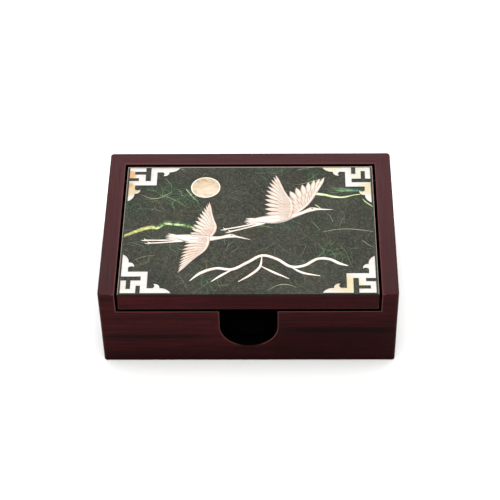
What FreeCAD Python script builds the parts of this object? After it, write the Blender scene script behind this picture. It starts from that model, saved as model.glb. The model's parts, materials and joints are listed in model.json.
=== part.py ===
"""Business card box: a lacquered wooden case with a pin-hinged lid that carries a picture of shell inlay.

Millimetres, +Z up. The origin is the middle of the face that the box rests on.
+X runs along the front wall to the right, +Y runs from the front wall to the rear wall.
"""
import FreeCAD, Part
import math
import os

V = FreeCAD.Vector
UP = V(0, 0, 1)
OVERRUN = 1.0  # how far a cutting solid runs past the face that it cuts

# Case
CASE_WIDTH = 110.0
CASE_DEPTH = 76.0
CASE_HEIGHT = 36.5
WALL = 6.2
CORNER_RADIUS = 1.2  # the four upright outer edges
FOOT_RADIUS = 0.3  # the outer edges at the bottom
EDGE_RADIUS = 0.5  # the broken edges of rims, seat and notch

# Floor
FELT_THICKNESS = 0.8
BASE_THICKNESS = 3.0
BASE_REBATE = 3.0  # how far the base board is let into the walls
BASE_CLEARANCE = 0.1
LINING_THICKNESS = 0.8
LINING_CLEARANCE = 0.3

# Lid
LID_THICKNESS = 8.0  # board and panel together
SIDE_GAP = 0.95
REAR_GAP = 1.6
LID_EDGE_RADIUS = 0.4  # the lid's lower and upright edges
PANEL_THICKNESS = 0.6
PANEL_MARGIN = 0.15  # bare wood round the panel, the width of the board's broken upper edges
PANEL_EDGE_RADIUS = 0.1
GROOVE_HEIGHT = 1.1  # shadow groove under the front of the lid
GROOVE_DEPTH = 2.5

# Thumb notch in the front wall, open at the top and round at the bottom
NOTCH_WIDTH = 21.3
NOTCH_BOTTOM = 8.3  # height of its lowest point

# Hinge: a blind pin on each side
PIN_RADIUS = 1.0
PIN_IN_WALL = 4.0
PIN_IN_LID = 7.0
PIN_RUNNING_CLEARANCE = 0.05
PIN_END_CLEARANCE = 0.3
PIN_TIP_CHAMFER = 0.2
HINGE_SETBACK = 5.0  # from the lid's rear face to the pin's axis
HINGE_DROP = 3.6  # from the lid's top face down to the pin's axis

# Shell inlay on the panel
SHELL_THICKNESS = 0.3
FRET_MARGIN = 0.9  # from the panel's sides and rear
FRET_FRONT_MARGIN = 0.5
FRET_BAR = 2.05
FRET_COLUMN = 2.65
FRET_RAIL = 2.45  # the outer post and the outer sill
FRET_SLOT = 1.6
FRET_WIDE_SLOT = 2.0  # between the column and the outer post
FRET_ARM = 2.4
FRET_ARM_LENGTH = 8.8  # from the key block to the tip of the cloud
FRET_HOOK_START = 2.1  # from the key block to the root of the cloud's hook
FRET_HOOK_RISE = 2.1
FRET_HOOK_LENGTH = 2.6
MOON_RADIUS = 5.7
RIDGE_WIDTH = 1.25
SPUR_WIDTH = 1.0
RIDGE_TIP_WIDTH = 0.3
# The picture is drawn on a grid that fills the panel, counted from the panel's middle
GRID_COLUMNS = 95.4
GRID_ROWS = 67.9
MOON_PLACE = (-17.0, 22.1)

# Values that follow from the ones above
HALF_WIDTH = CASE_WIDTH / 2
HALF_DEPTH = CASE_DEPTH / 2
INNER_HALF_WIDTH = HALF_WIDTH - WALL
INNER_HALF_DEPTH = HALF_DEPTH - WALL
LID_SEAT = CASE_HEIGHT - LID_THICKNESS
BASE_TOP = FELT_THICKNESS + BASE_THICKNESS
LID_HALF_WIDTH = INNER_HALF_WIDTH - SIDE_GAP
LID_REAR = INNER_HALF_DEPTH - REAR_GAP
LID_FRONT = -HALF_DEPTH
PANEL_BOTTOM = CASE_HEIGHT - PANEL_THICKNESS
PANEL_TOP = CASE_HEIGHT
PANEL_HALF_WIDTH = LID_HALF_WIDTH - PANEL_MARGIN
PANEL_FRONT = LID_FRONT + PANEL_MARGIN
PANEL_REAR = LID_REAR - PANEL_MARGIN
PANEL_MIDDLE = (PANEL_FRONT + PANEL_REAR) / 2
COLUMN = 2 * PANEL_HALF_WIDTH / GRID_COLUMNS
ROW = (PANEL_REAR - PANEL_FRONT) / GRID_ROWS
PIN_Y = LID_REAR - HINGE_SETBACK
PIN_Z = CASE_HEIGHT - HINGE_DROP


def save(shape, node):
    """Write one node's solid, or group of solids, and report its size."""
    shape.exportStep(f"parts/{node}.step")
    box = shape.BoundBox
    print(f"{node:24s} {len(shape.Solids)} solid, {shape.Volume:9.2f} mm3, valid {shape.isValid()}, "
          f"{box.XLength:.2f} x {box.YLength:.2f} x {box.ZLength:.2f}")


def block(x, y, z):
    """Box between two values on each axis, given as (low, high) pairs."""
    corner = V(x[0], y[0], z[0])
    return Part.makeBox(x[1] - x[0], y[1] - y[0], z[1] - z[0], corner)


def plate(edges, bottom, thickness):
    """Upright prism on a closed outline drawn at z = 0."""
    face = Part.Face(Part.Wire(edges))
    face.translate(V(0, 0, bottom))
    return face.extrude(V(0, 0, thickness))


def vectors(points):
    """Points on the plane z = 0."""
    return [V(x, y, 0) for x, y in points]


def open_line(points):
    """Straight edges from each (x, y) point to the next."""
    corners = vectors(points)
    return [Part.LineSegment(a, b).toShape() for a, b in zip(corners, corners[1:])]


def polygon(points):
    """Straight edges round a list of (x, y) points, closed at the end."""
    return open_line([*points, points[0]])


def arc(start, middle, end):
    """Circular edge through three (x, y) points."""
    return Part.Arc(V(*start, 0), V(*middle, 0), V(*end, 0)).toShape()


def level_edges(shape, z):
    """Edges that lie wholly at one height."""
    return [e for e in shape.Edges if abs(e.BoundBox.ZMin - z) < 1e-6 and abs(e.BoundBox.ZMax - z) < 1e-6]


def upright_edges(shape):
    """Straight edges that run along Z."""
    return [e for e in shape.Edges if e.BoundBox.XLength < 1e-6 and e.BoundBox.YLength < 1e-6]


def case_blank():
    """Outside of the case as one rounded block."""
    body = block((-HALF_WIDTH, HALF_WIDTH), (-HALF_DEPTH, HALF_DEPTH), (0, CASE_HEIGHT))
    body = body.makeFillet(CORNER_RADIUS, upright_edges(body))
    body = body.makeFillet(FOOT_RADIUS, level_edges(body, 0))
    return body.makeFillet(EDGE_RADIUS, level_edges(body, CASE_HEIGHT))


def notch_cutter():
    """Round-bottomed slot through the front wall, open at the top."""
    radius = NOTCH_WIDTH / 2
    centre_z = NOTCH_BOTTOM + radius
    front = -HALF_DEPTH - OVERRUN
    depth = WALL + 2 * OVERRUN
    slot = block((-radius, radius), (front, front + depth), (centre_z, CASE_HEIGHT + OVERRUN))
    round_end = Part.makeCylinder(radius, depth, V(0, front, centre_z), V(0, 1, 0))
    return slot.fuse(round_end).removeSplitter()


def case_ring():
    """The four walls as one ring, before the mitres part them."""
    ring = case_blank()
    inner_x = (-INNER_HALF_WIDTH, INNER_HALF_WIDTH)
    inner_y = (-INNER_HALF_DEPTH, INNER_HALF_DEPTH)
    ring = ring.cut(block(inner_x, inner_y, (-OVERRUN, CASE_HEIGHT + OVERRUN)))
    rebate_x = (-INNER_HALF_WIDTH - BASE_REBATE, INNER_HALF_WIDTH + BASE_REBATE)
    rebate_y = (-INNER_HALF_DEPTH - BASE_REBATE, INNER_HALF_DEPTH + BASE_REBATE)
    ring = ring.cut(block(rebate_x, rebate_y, (-OVERRUN, BASE_TOP)))
    lid_y = (-HALF_DEPTH - OVERRUN, -INNER_HALF_DEPTH)
    ring = ring.cut(block(inner_x, lid_y, (LID_SEAT, CASE_HEIGHT + OVERRUN)))
    groove_y = (-HALF_DEPTH - OVERRUN, -HALF_DEPTH + GROOVE_DEPTH)
    ring = ring.cut(block(inner_x, groove_y, (LID_SEAT - GROOVE_HEIGHT, LID_SEAT + OVERRUN)))
    return ring.cut(notch_cutter())


def on_line(edge, axis, value):
    """Whether the whole edge has one value on an axis, named "X", "Y" or "Z"."""
    box = edge.BoundBox
    low = getattr(box, axis + "Min")
    high = getattr(box, axis + "Max")
    return abs(low - value) < 1e-6 and abs(high - value) < 1e-6


def softened(ring):
    """Break the edges of the rims, the horns, the lid's seat and the notch."""
    sides = (-INNER_HALF_WIDTH, INNER_HALF_WIDTH)
    rims = [e for e in level_edges(ring, CASE_HEIGHT)
            if on_line(e, "X", sides[0]) or on_line(e, "X", sides[1]) or on_line(e, "Y", INNER_HALF_DEPTH)]
    ring = ring.makeFillet(EDGE_RADIUS, rims)
    horn_foot = LID_SEAT - GROOVE_HEIGHT - OVERRUN
    for y in (-HALF_DEPTH, -INNER_HALF_DEPTH):
        opening = []
        for edge in ring.Edges:
            box = edge.BoundBox
            horn = box.ZMin > horn_foot and (on_line(edge, "X", sides[0]) or on_line(edge, "X", sides[1]))
            below_lid = box.ZMin > BASE_TOP + OVERRUN and box.ZMax < LID_SEAT + OVERRUN
            inside = box.XMin > sides[0] - OVERRUN and box.XMax < sides[1] + OVERRUN
            if on_line(edge, "Y", y) and inside and (below_lid or horn):
                opening.append(edge)
        ring = ring.makeFillet(EDGE_RADIUS, opening)
    return ring


def walls():
    """Four boards, mitred where they meet, with the hinge pins' holes in the two side boards."""
    ring = softened(case_ring())
    for side in (-1, 1):
        ring = ring.cut(pin_solid(side, PIN_RADIUS, PIN_IN_WALL, 0))
    reach = WALL + OVERRUN
    front_left = (-HALF_WIDTH, -HALF_DEPTH)
    front_right = (HALF_WIDTH, -HALF_DEPTH)
    rear_left = (-HALF_WIDTH, HALF_DEPTH)
    rear_right = (HALF_WIDTH, HALF_DEPTH)

    def inward(corner):
        """Point on the mitre plane, inside the cavity."""
        return (corner[0] - math.copysign(reach, corner[0]), corner[1] - math.copysign(reach, corner[1]))

    wedges = {
        "front_wall": (front_left, front_right, inward(front_right), inward(front_left)),
        "right_wall": (front_right, rear_right, inward(rear_right), inward(front_right)),
        "rear_wall": (rear_right, rear_left, inward(rear_left), inward(rear_right)),
        "left_wall": (rear_left, front_left, inward(front_left), inward(rear_left)),
    }
    return {node: ring.common(plate(polygon(outline), 0, CASE_HEIGHT)) for node, outline in wedges.items()}


def pin_solid(side, radius, in_wall, in_lid):
    """Cylinder on the hinge axis, from inside a side wall to inside the lid; side is -1 or 1."""
    inner_end = INNER_HALF_WIDTH if in_lid == 0 else LID_HALF_WIDTH - in_lid
    outer_end = INNER_HALF_WIDTH + in_wall
    start = V(side * inner_end, PIN_Y, PIN_Z)
    return Part.makeCylinder(radius, outer_end - inner_end, start, V(side, 0, 0))


def hinge_pin(side):
    """Steel pin with broken ends."""
    pin = pin_solid(side, PIN_RADIUS, PIN_IN_WALL, PIN_IN_LID)
    rims = [e for e in pin.Edges if e.BoundBox.XLength < 1e-6]
    return pin.makeChamfer(PIN_TIP_CHAMFER, rims)


def base_board():
    """Floor of the case, let into the walls' rebate."""
    half_x = INNER_HALF_WIDTH + BASE_REBATE - BASE_CLEARANCE
    half_y = INNER_HALF_DEPTH + BASE_REBATE - BASE_CLEARANCE
    return block((-half_x, half_x), (-half_y, half_y), (FELT_THICKNESS, BASE_TOP))


def base_felt():
    """Felt under the base board, level with the bottoms of the walls."""
    half_x = INNER_HALF_WIDTH + BASE_REBATE - BASE_CLEARANCE
    half_y = INNER_HALF_DEPTH + BASE_REBATE - BASE_CLEARANCE
    return block((-half_x, half_x), (-half_y, half_y), (0, FELT_THICKNESS))


def floor_lining():
    """Velvet-covered card on the floor of the cavity."""
    half_x = INNER_HALF_WIDTH - LINING_CLEARANCE
    half_y = INNER_HALF_DEPTH - LINING_CLEARANCE
    return block((-half_x, half_x), (-half_y, half_y), (BASE_TOP, BASE_TOP + LINING_THICKNESS))


def lid_board():
    """Lid with softened edges and a blind bore for the pin in each side."""
    board = block((-LID_HALF_WIDTH, LID_HALF_WIDTH), (LID_FRONT, LID_REAR), (LID_SEAT, PANEL_BOTTOM))
    board = board.makeFillet(LID_EDGE_RADIUS, upright_edges(board) + level_edges(board, LID_SEAT))
    board = board.makeFillet(PANEL_MARGIN, level_edges(board, PANEL_BOTTOM))
    bore_radius = PIN_RADIUS + PIN_RUNNING_CLEARANCE
    bore_depth = PIN_IN_LID + PIN_END_CLEARANCE
    for side in (-1, 1):
        start = V(side * (LID_HALF_WIDTH + OVERRUN), PIN_Y, PIN_Z)
        board = board.cut(Part.makeCylinder(bore_radius, bore_depth + OVERRUN, start, V(-side, 0, 0)))
    return board


def paper_panel():
    """Stiff fibrous sheet that covers the lid."""
    half = PANEL_HALF_WIDTH
    sheet = block((-half, half), (PANEL_FRONT, PANEL_REAR), (PANEL_BOTTOM, PANEL_TOP))
    return sheet.makeFillet(PANEL_EDGE_RADIUS, level_edges(sheet, PANEL_TOP))


def on_panel(points):
    """Points of the picture's grid, placed on the panel."""
    return [(x * COLUMN, PANEL_MIDDLE + y * ROW) for x, y in points]


def cloud_tip(block_end, place):
    """Edges of one arm's cloud, from its tip back to the plain arm.

    block_end is how far the key block reaches along the arm.
    place turns (along, across) into (x, y).
    """
    hook_start = block_end + FRET_HOOK_START
    hook_end = hook_start + FRET_HOOK_LENGTH
    hook_top = FRET_ARM + FRET_HOOK_RISE
    arm_end = block_end + FRET_ARM_LENGTH
    tip = place(arm_end, 0)
    brow = place((hook_end + arm_end) / 2 + FRET_ARM / 6, FRET_ARM * 3 / 4)
    hook_foot = place(hook_end, FRET_ARM)
    hook_back = place(hook_end - FRET_HOOK_LENGTH / 4, hook_top - FRET_HOOK_RISE / 5)
    hook_tip = place(hook_start + FRET_HOOK_LENGTH / 12, hook_top)
    hook_belly = place(hook_start + FRET_HOOK_LENGTH / 4, (FRET_ARM + hook_top) / 2)
    hook_root = place(hook_start, FRET_ARM)
    return [arc(tip, brow, hook_foot), arc(hook_foot, hook_back, hook_tip), arc(hook_tip, hook_belly, hook_root)]


def fret_design():
    """Key fret in its corner's own frame: corner at the origin, one arm along +x and one along -y."""
    column = FRET_BAR + FRET_SLOT  # near side of the inner column and of the inner tongue
    column_end = column + FRET_COLUMN
    post = column_end + FRET_WIDE_SLOT  # near side of the outer post
    width = post + FRET_RAIL
    tongue_end = column + FRET_BAR
    sill = tongue_end + FRET_SLOT  # near side of the outer sill
    height = sill + FRET_RAIL
    key = [(width + FRET_ARM_LENGTH, 0), (post, 0), (post, sill), (column_end, sill), (column_end, column),
           (FRET_BAR, column), (FRET_BAR, FRET_BAR), (column_end, FRET_BAR), (column_end, 0), (0, 0),
           (0, tongue_end), (column, tongue_end), (column, sill), (0, sill), (0, height + FRET_ARM_LENGTH)]
    back = [(FRET_ARM, height + FRET_HOOK_START), (FRET_ARM, height), (width, height),
            (width, FRET_ARM), (width + FRET_HOOK_START, FRET_ARM)]
    edges = open_line(key) + cloud_tip(height, lambda along, across: (across, along))
    edges += open_line(back) + cloud_tip(width, lambda along, across: (along, across))
    return plate(Part.__sortEdges__(edges), 0, SHELL_THICKNESS).mirror(V(0, 0, 0), V(0, 1, 0))


def corner_frets():
    """One fret in each corner of the panel, the same design turned a quarter each time."""
    right = PANEL_HALF_WIDTH - FRET_MARGIN
    front = PANEL_FRONT + FRET_FRONT_MARGIN
    rear = PANEL_REAR - FRET_MARGIN
    corners = {"rear_left": (-right, rear), "front_left": (-right, front),
               "front_right": (right, front), "rear_right": (right, rear)}
    frets = {}
    for quarter, (corner, (x, y)) in enumerate(corners.items()):
        fret = fret_design()
        fret.rotate(V(0, 0, 0), UP, 90 * quarter)
        fret.translate(V(x, y, PANEL_TOP))
        frets[f"corner_fret_{corner}"] = fret
    return frets


def moon_disc():
    """Round shell disc."""
    x, y = on_panel([MOON_PLACE])[0]
    return Part.makeCylinder(MOON_RADIUS, SHELL_THICKNESS, V(x, y, PANEL_TOP))


def side_line(points, half_widths, side):
    """Points beside a centre line, on its left (side 1) or on its right (side -1)."""
    line = []
    for i, (x, y) in enumerate(points):
        x0, y0 = points[max(i - 1, 0)]
        x1, y1 = points[min(i + 1, len(points) - 1)]
        offset = side * half_widths[i] / math.hypot(x1 - x0, y1 - y0)
        line.append((x - (y1 - y0) * offset, y + (x1 - x0) * offset))
    return line


def ribbon(points, half_widths):
    """Flat curved strip of changing width on the panel, from points of the picture's grid."""
    left = vectors(on_panel(side_line(points, half_widths, 1)))
    right = vectors(on_panel(side_line(points, half_widths, -1)))
    edges = [Part.LineSegment(left[i], right[i]).toShape() for i in (0, -1)]
    for line in (left, right):
        curve = Part.BSplineCurve()
        curve.interpolate(line)
        edges.append(curve.toShape())
    return plate(Part.__sortEdges__(edges), PANEL_TOP, SHELL_THICKNESS)


class Wing:
    """Fan of feathers along a curved leading edge, in its bird's own frame."""

    GAP_START = 0.76  # how far along the feathers the gaps between them begin
    SPREAD = 0.9  # under 1, the feathers turn sooner near the shoulder

    def __init__(self, edge, feathers, angles, lengths):
        self.edge = edge  # shoulder, bend and wrist of the leading edge
        self.feathers = feathers
        self.angles = angles  # direction of the first and of the last feather, in degrees
        self.lengths = lengths  # of the first, a middle and the last feather

    @staticmethod
    def blended(values, t):
        """Smooth passage from the first value past the second to the third."""
        return values[0] * (1 - t) ** 2 + values[1] * 2 * t * (1 - t) + values[2] * t ** 2

    def root(self, t):
        """Point of the leading edge, from 0 at the shoulder to 1 at the wrist."""
        return tuple(self.blended([point[axis] for point in self.edge], t) for axis in (0, 1))

    def along(self, t, share):
        """Point at a share of the length of the feather that grows at t."""
        angle = math.radians(self.angles[0] + (self.angles[1] - self.angles[0]) * t ** self.SPREAD)
        length = share * self.blended(self.lengths, t)
        x, y = self.root(t)
        return (x + length * math.cos(angle), y + length * math.sin(angle))

    def solid(self, put):
        """Flat wing on the panel; put places points of the bird's own frame."""
        last = self.feathers - 1
        rim = [self.root(1)]
        for i in range(last, 0, -1):
            rim.append(self.along(i / last, 1))
            rim.append(self.along((i - 0.5) / last, self.GAP_START))
        rim += [self.along(0, 1), self.root(0)]
        curve = Part.BezierCurve()
        curve.setPoles(vectors(on_panel(put(self.edge))))
        edges = open_line(on_panel(put(rim))) + [curve.toShape()]
        return plate(Part.__sortEdges__(edges), PANEL_TOP, SHELL_THICKNESS)


class Crane:
    """Flying crane of shell, drawn in its own frame with its beak towards +x."""

    # Centre line from the beak to the rump: x, y and half the width there
    TRUNK = ((21.0, 1.3, 0.08), (18.0, 1.9, 0.32), (15.6, 2.4, 0.52), (14.5, 2.6, 0.90), (13.1, 2.6, 1.15),
             (11.7, 2.2, 0.95), (9.8, 1.5, 0.80), (7.6, 0.9, 1.00), (5.4, 0.5, 1.50), (2.8, 0.1, 2.20),
             (-0.4, -0.1, 2.45), (-4.0, 0.1, 1.95), (-7.0, 0.5, 1.15), (-9.0, 0.8, 0.35))
    TAIL_ROOT = (-5.4, 0.3)
    TAIL_FEATHERS = 5
    TAIL_FIRST_ANGLE = 164
    TAIL_STEP_ANGLE = 9
    TAIL_LENGTH = 6.4
    TAIL_SHORTER = 0.3  # what each feather loses on the one nearer the middle
    TAIL_HALF_WIDTHS = (0.70, 0.62, 0.08)
    SHINS = (((-4.6, -0.9), (-9.0, -1.4), (-13.8, -2.0), (-18.2, -2.3)),
             ((-4.6, -1.4), (-9.0, -2.4), (-13.8, -3.3), (-16.6, -3.7)))
    SHIN_HALF_WIDTHS = (0.62, 0.40, 0.36, 0.32)
    TOES = (((0.0, 0.0), (-1.3, -0.35), (-2.6, -0.2)), ((0.0, 0.0), (-1.0, 0.1), (-1.5, 0.9)))
    TOE_HALF_WIDTHS = (0.32, 0.28, 0.09)

    def __init__(self, place, size, turn, near_wing, far_wing):
        self.place = place
        self.size = size
        self.turn = math.radians(turn)
        self.near_wing = near_wing
        self.far_wing = far_wing

    def put(self, points):
        """Points of the bird's own frame as points of the picture's grid."""
        cosine = math.cos(self.turn) * self.size
        sine = math.sin(self.turn) * self.size
        x0, y0 = self.place
        return [(x0 + x * cosine - y * sine, y0 + x * sine + y * cosine) for x, y in points]

    def strip(self, points, half_widths):
        """Ribbon in the bird's own frame."""
        return ribbon(self.put(points), [w * self.size for w in half_widths])

    def tail(self):
        """Fan of short feathers behind the rump."""
        x, y = self.TAIL_ROOT
        feathers = []
        for i in range(self.TAIL_FEATHERS):
            angle = math.radians(self.TAIL_FIRST_ANGLE + i * self.TAIL_STEP_ANGLE)
            length = self.TAIL_LENGTH - self.TAIL_SHORTER * abs(i - self.TAIL_FEATHERS // 2)
            dx = length * math.cos(angle)
            dy = length * math.sin(angle)
            feathers.append(self.strip([(x, y), (x + dx / 2, y + dy / 2), (x + dx, y + dy)], self.TAIL_HALF_WIDTHS))
        return feathers

    def legs(self):
        """Two trailing legs, each with a long toe and a raised one."""
        strips = []
        for shin in self.SHINS:
            strips.append(self.strip(shin, self.SHIN_HALF_WIDTHS))
            ankle_x, ankle_y = shin[-1]
            for toe in self.TOES:
                strips.append(self.strip([(ankle_x + x, ankle_y + y) for x, y in toe], self.TOE_HALF_WIDTHS))
        return strips

    def whole_body(self):
        """Beak, head, neck, trunk, tail and legs in one piece."""
        trunk = self.strip([(x, y) for x, y, _ in self.TRUNK], [half for _, _, half in self.TRUNK])
        return trunk.fuse(self.tail() + self.legs()).removeSplitter()

    def pieces(self):
        """Body, near wing and far wing, cut to lie side by side."""
        near = self.near_wing.solid(self.put)
        whole = self.whole_body()
        far = self.far_wing.solid(self.put).cut(whole).cut(near)
        return {"body": whole.cut(near), "near_wing": near, "far_wing": far}


def cranes():
    """Two birds on the wing, one high with both wings raised and one low on the downstroke."""
    high = Crane(place=(10.4, 5.0), size=1.05, turn=9,
                 near_wing=Wing(((4.4, -0.4), (8.2, 6.6), (5.2, 11.4)), 13, (190, 100), (7.6, 12.4, 11.5)),
                 far_wing=Wing(((6.2, 1.4), (12.6, 4.6), (15.2, 9.6)), 10, (136, 58), (8.6, 11.4, 10.5)))
    low = Crane(place=(-20.0, -5.6), size=0.98, turn=-5,
                near_wing=Wing(((4.6, 1.4), (6.0, -5.6), (1.0, -9.4)), 13, (178, 238), (7.6, 11.6, 10.6)),
                far_wing=Wing(((5.0, 1.2), (8.6, 6.4), (5.4, 10.4)), 11, (166, 104), (7.6, 11.4, 10.4)))
    return {f"crane_{name}_{part}": solid
            for name, crane in (("high", high), ("low", low))
            for part, solid in crane.pieces().items()}


def ridge_strip(points, width):
    """Mountain line that thins out at both ends."""
    half_widths = [width / 2] * len(points)
    half_widths[0] = RIDGE_TIP_WIDTH / 2
    half_widths[-1] = RIDGE_TIP_WIDTH / 2
    return ribbon(points, half_widths)


def ridges():
    """One long crest and four short lines that run down from it."""
    crest = ridge_strip([(-21.5, -27.3), (-17.5, -23.3), (-12.0, -21.0), (-6.0, -21.5), (-0.5, -18.1),
                         (5.0, -14.5), (10.5, -16.3), (15.5, -20.1), (20.5, -19.7), (25.5, -16.3),
                         (30.0, -16.4), (33.6, -18.6), (36.8, -19.8)], RIDGE_WIDTH)
    middle = ridge_strip([(-3.6, -27.7), (0.8, -24.3), (4.2, -20.3), (5.0, -14.7)], SPUR_WIDTH).cut(crest)
    return {
        "ridge_crest": crest,
        "ridge_left_spur": ridge_strip([(-13.6, -27.7), (-9.6, -24.3), (-5.6, -21.5)], SPUR_WIDTH).cut(crest),
        "ridge_middle_spur": middle,
        "ridge_middle_foot": ridge_strip([(4.3, -19.7), (9.4, -23.1), (15.0, -26.3)], SPUR_WIDTH).cut(middle),
        "ridge_right_spur": ridge_strip([(15.4, -20.1), (20.0, -23.3), (26.5, -24.9)], SPUR_WIDTH).cut(crest),
    }


def main():
    """Build every piece and write it."""
    os.makedirs("parts", exist_ok=True)
    pieces = walls()
    pieces["base_board"] = base_board()
    pieces["base_felt"] = base_felt()
    pieces["floor_lining"] = floor_lining()
    pieces["hinge_pin_left"] = hinge_pin(-1)
    pieces["hinge_pin_right"] = hinge_pin(1)
    pieces["lid_board"] = lid_board()
    pieces["paper_panel"] = paper_panel()
    pieces.update(corner_frets())
    pieces["moon_disc"] = moon_disc()
    pieces.update(cranes())
    pieces.update(ridges())
    for node, shape in pieces.items():
        save(shape, node)


main()
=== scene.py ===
"""Business card box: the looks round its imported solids.

A case and a lid of wine-brown lacquered wood, a sheet of green fibrous paper on the lid, and shell laid on the paper.
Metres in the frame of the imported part: +X along the front to the right, +Y to the rear, +Z up.
The picture on the lid is drawn in millimetres from the middle of the paper, as it was laid out on the solids.
"""

import json
import logging
import math
import random
from collections.abc import Sequence
from dataclasses import dataclass, field
from enum import Enum
from functools import reduce

import bmesh
import bpy
from mathutils import Matrix, Vector

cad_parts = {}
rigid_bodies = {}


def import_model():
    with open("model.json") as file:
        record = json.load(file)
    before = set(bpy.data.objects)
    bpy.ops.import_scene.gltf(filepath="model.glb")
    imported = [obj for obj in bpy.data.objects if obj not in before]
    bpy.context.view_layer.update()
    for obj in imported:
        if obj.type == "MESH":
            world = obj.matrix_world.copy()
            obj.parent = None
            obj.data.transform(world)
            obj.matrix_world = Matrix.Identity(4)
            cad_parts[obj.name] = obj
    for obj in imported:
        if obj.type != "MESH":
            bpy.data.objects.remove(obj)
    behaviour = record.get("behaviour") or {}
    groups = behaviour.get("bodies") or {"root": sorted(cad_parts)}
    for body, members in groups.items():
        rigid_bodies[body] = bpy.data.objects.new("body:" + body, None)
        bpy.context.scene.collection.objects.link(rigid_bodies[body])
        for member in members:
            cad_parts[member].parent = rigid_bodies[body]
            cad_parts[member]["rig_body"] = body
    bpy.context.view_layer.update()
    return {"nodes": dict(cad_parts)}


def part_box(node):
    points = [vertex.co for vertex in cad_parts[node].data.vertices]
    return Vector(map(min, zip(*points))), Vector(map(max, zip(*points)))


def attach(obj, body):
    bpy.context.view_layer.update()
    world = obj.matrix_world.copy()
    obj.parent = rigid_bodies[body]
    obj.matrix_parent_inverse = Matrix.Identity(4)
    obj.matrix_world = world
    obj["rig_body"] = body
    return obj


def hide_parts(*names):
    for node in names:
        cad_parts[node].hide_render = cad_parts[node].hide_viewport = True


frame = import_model()

MM = 0.001
RIM = "rim"  # vertex attribute: 1 on the engraved outline of a shell piece, 0 away from it
LOG = logging.getLogger("card_box")

Pair = tuple[float, float]
Triple = tuple[float, float, float]
Quad = tuple[float, float, float, float]
Span = Quad  # two values of a pattern, and what they are turned into
Spot = Quad  # x, y and reach in mm from the middle of the paper, and strength
Band = tuple[float, float, float, float, float]
Stop = Triple  # x, y and half the width there
Block = tuple[Triple, Triple]  # middle and half size of a block of space, mm
Socket = bpy.types.NodeSocket
Wire = Socket | Sequence[float] | float | str


# Shared helpers

def linear(hex_colour: str) -> Quad:
    """Turn an sRGB hex colour into linear RGBA.

    Args:
        hex_colour: a colour such as "#4a1a1e".

    Returns:
        The four linear values, with alpha 1.
    """
    shares = [int(hex_colour[i:i + 2], 16) / 255 for i in (1, 3, 5)]
    red, green, blue = (s / 12.92 if s <= 0.04045 else ((s + 0.055) / 1.055) ** 2.4 for s in shares)
    return (red, green, blue, 1.0)


def metres(*values: float) -> tuple[float, ...]:
    """Turn millimetres into metres."""
    return tuple(value * MM for value in values)


def per_metre(spacing: float) -> float:
    """Texture scale for a spacing in millimetres."""
    return 1 / (spacing * MM)


def on_paper(x: float = 0.0, y: float = 0.0) -> Vector:
    """Point of the frame for millimetres from the middle of the paper's face."""
    low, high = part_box("paper_panel")
    return Vector(((low.x + high.x) / 2 + x * MM, (low.y + high.y) / 2 + y * MM, high.z))


def paper_reach() -> Vector:
    """Half the paper's size in millimetres."""
    low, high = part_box("paper_panel")
    return (high - low) / (2 * MM)


def on_circle(middle: Pair, radius: float, turn: float) -> Pair:
    """Point of a circle at an angle in radians."""
    return (middle[0] + radius * math.cos(turn), middle[1] + radius * math.sin(turn))


def smooth_line(points: Sequence[Sequence[float]], step: float) -> list[tuple[float, ...]]:
    """Draw a smooth curve through points, and through whatever other values they carry.

    Args:
        points: two or more rows of numbers that begin with x and y.
        step: about how far apart the new points lie.

    Returns:
        The rows of the curve, from the first point to the last.
    """
    ends = [points[0], *points, points[-1]]
    line = []
    for before, start, end, after in zip(ends, ends[1:], ends[2:], ends[3:]):
        parts = max(1, round(math.dist(start[:2], end[:2]) / step))
        for t in (i / parts for i in range(parts)):
            line.append(tuple(
                b + t * (c - a) / 2 + t * t * (a - 2.5 * b + 2 * c - d / 2) + t ** 3 * (1.5 * (b - c) + (d - a) / 2)
                for a, b, c, d in zip(before, start, end, after)))
    line.append(tuple(points[-1]))
    return line


def with_widths(points: Sequence[Pair], halves: Sequence[float], step: float) -> list[Stop]:
    """Smooth curve through points, with half a width at each of them."""
    return smooth_line([(*point, half) for point, half in zip(points, halves)], step)


def arc_line(start: Pair, middle: Pair, end: Pair, step: float) -> list[Pair]:
    """Points along the circle's arc through three points, without the last one.

    Args:
        start: where the arc begins.
        middle: a point that it passes.
        end: where it ends.
        step: about how far apart the points lie.

    Returns:
        Points from the start on.
    """
    (ax, ay), (bx, by), (cx, cy) = start, middle, end
    twice = 2 * (ax * (by - cy) + bx * (cy - ay) + cx * (ay - by))
    squares = [x * x + y * y for x, y in (start, middle, end)]
    x0 = (squares[0] * (by - cy) + squares[1] * (cy - ay) + squares[2] * (ay - by)) / twice
    y0 = (squares[0] * (cx - bx) + squares[1] * (ax - cx) + squares[2] * (bx - ax)) / twice
    radius = math.dist((x0, y0), start)
    first, via, last = (math.atan2(y - y0, x - x0) for x, y in (start, middle, end))
    sweep = (last - first) % math.tau
    if (via - first) % math.tau > sweep:
        sweep -= math.tau
    parts = max(2, round(abs(sweep) * radius / step))
    return [on_circle((x0, y0), radius, first + sweep * i / parts) for i in range(parts)]


def show(name: str, data: bpy.types.ID) -> bpy.types.Object:
    """Stand an object in the scene.

    Args:
        name: the object's name.
        data: its mesh, lamp or camera.

    Returns:
        The object, at the origin.
    """
    made = bpy.data.objects.new(name, data)
    bpy.context.scene.collection.objects.link(made)
    return made


# Finishes

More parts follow.
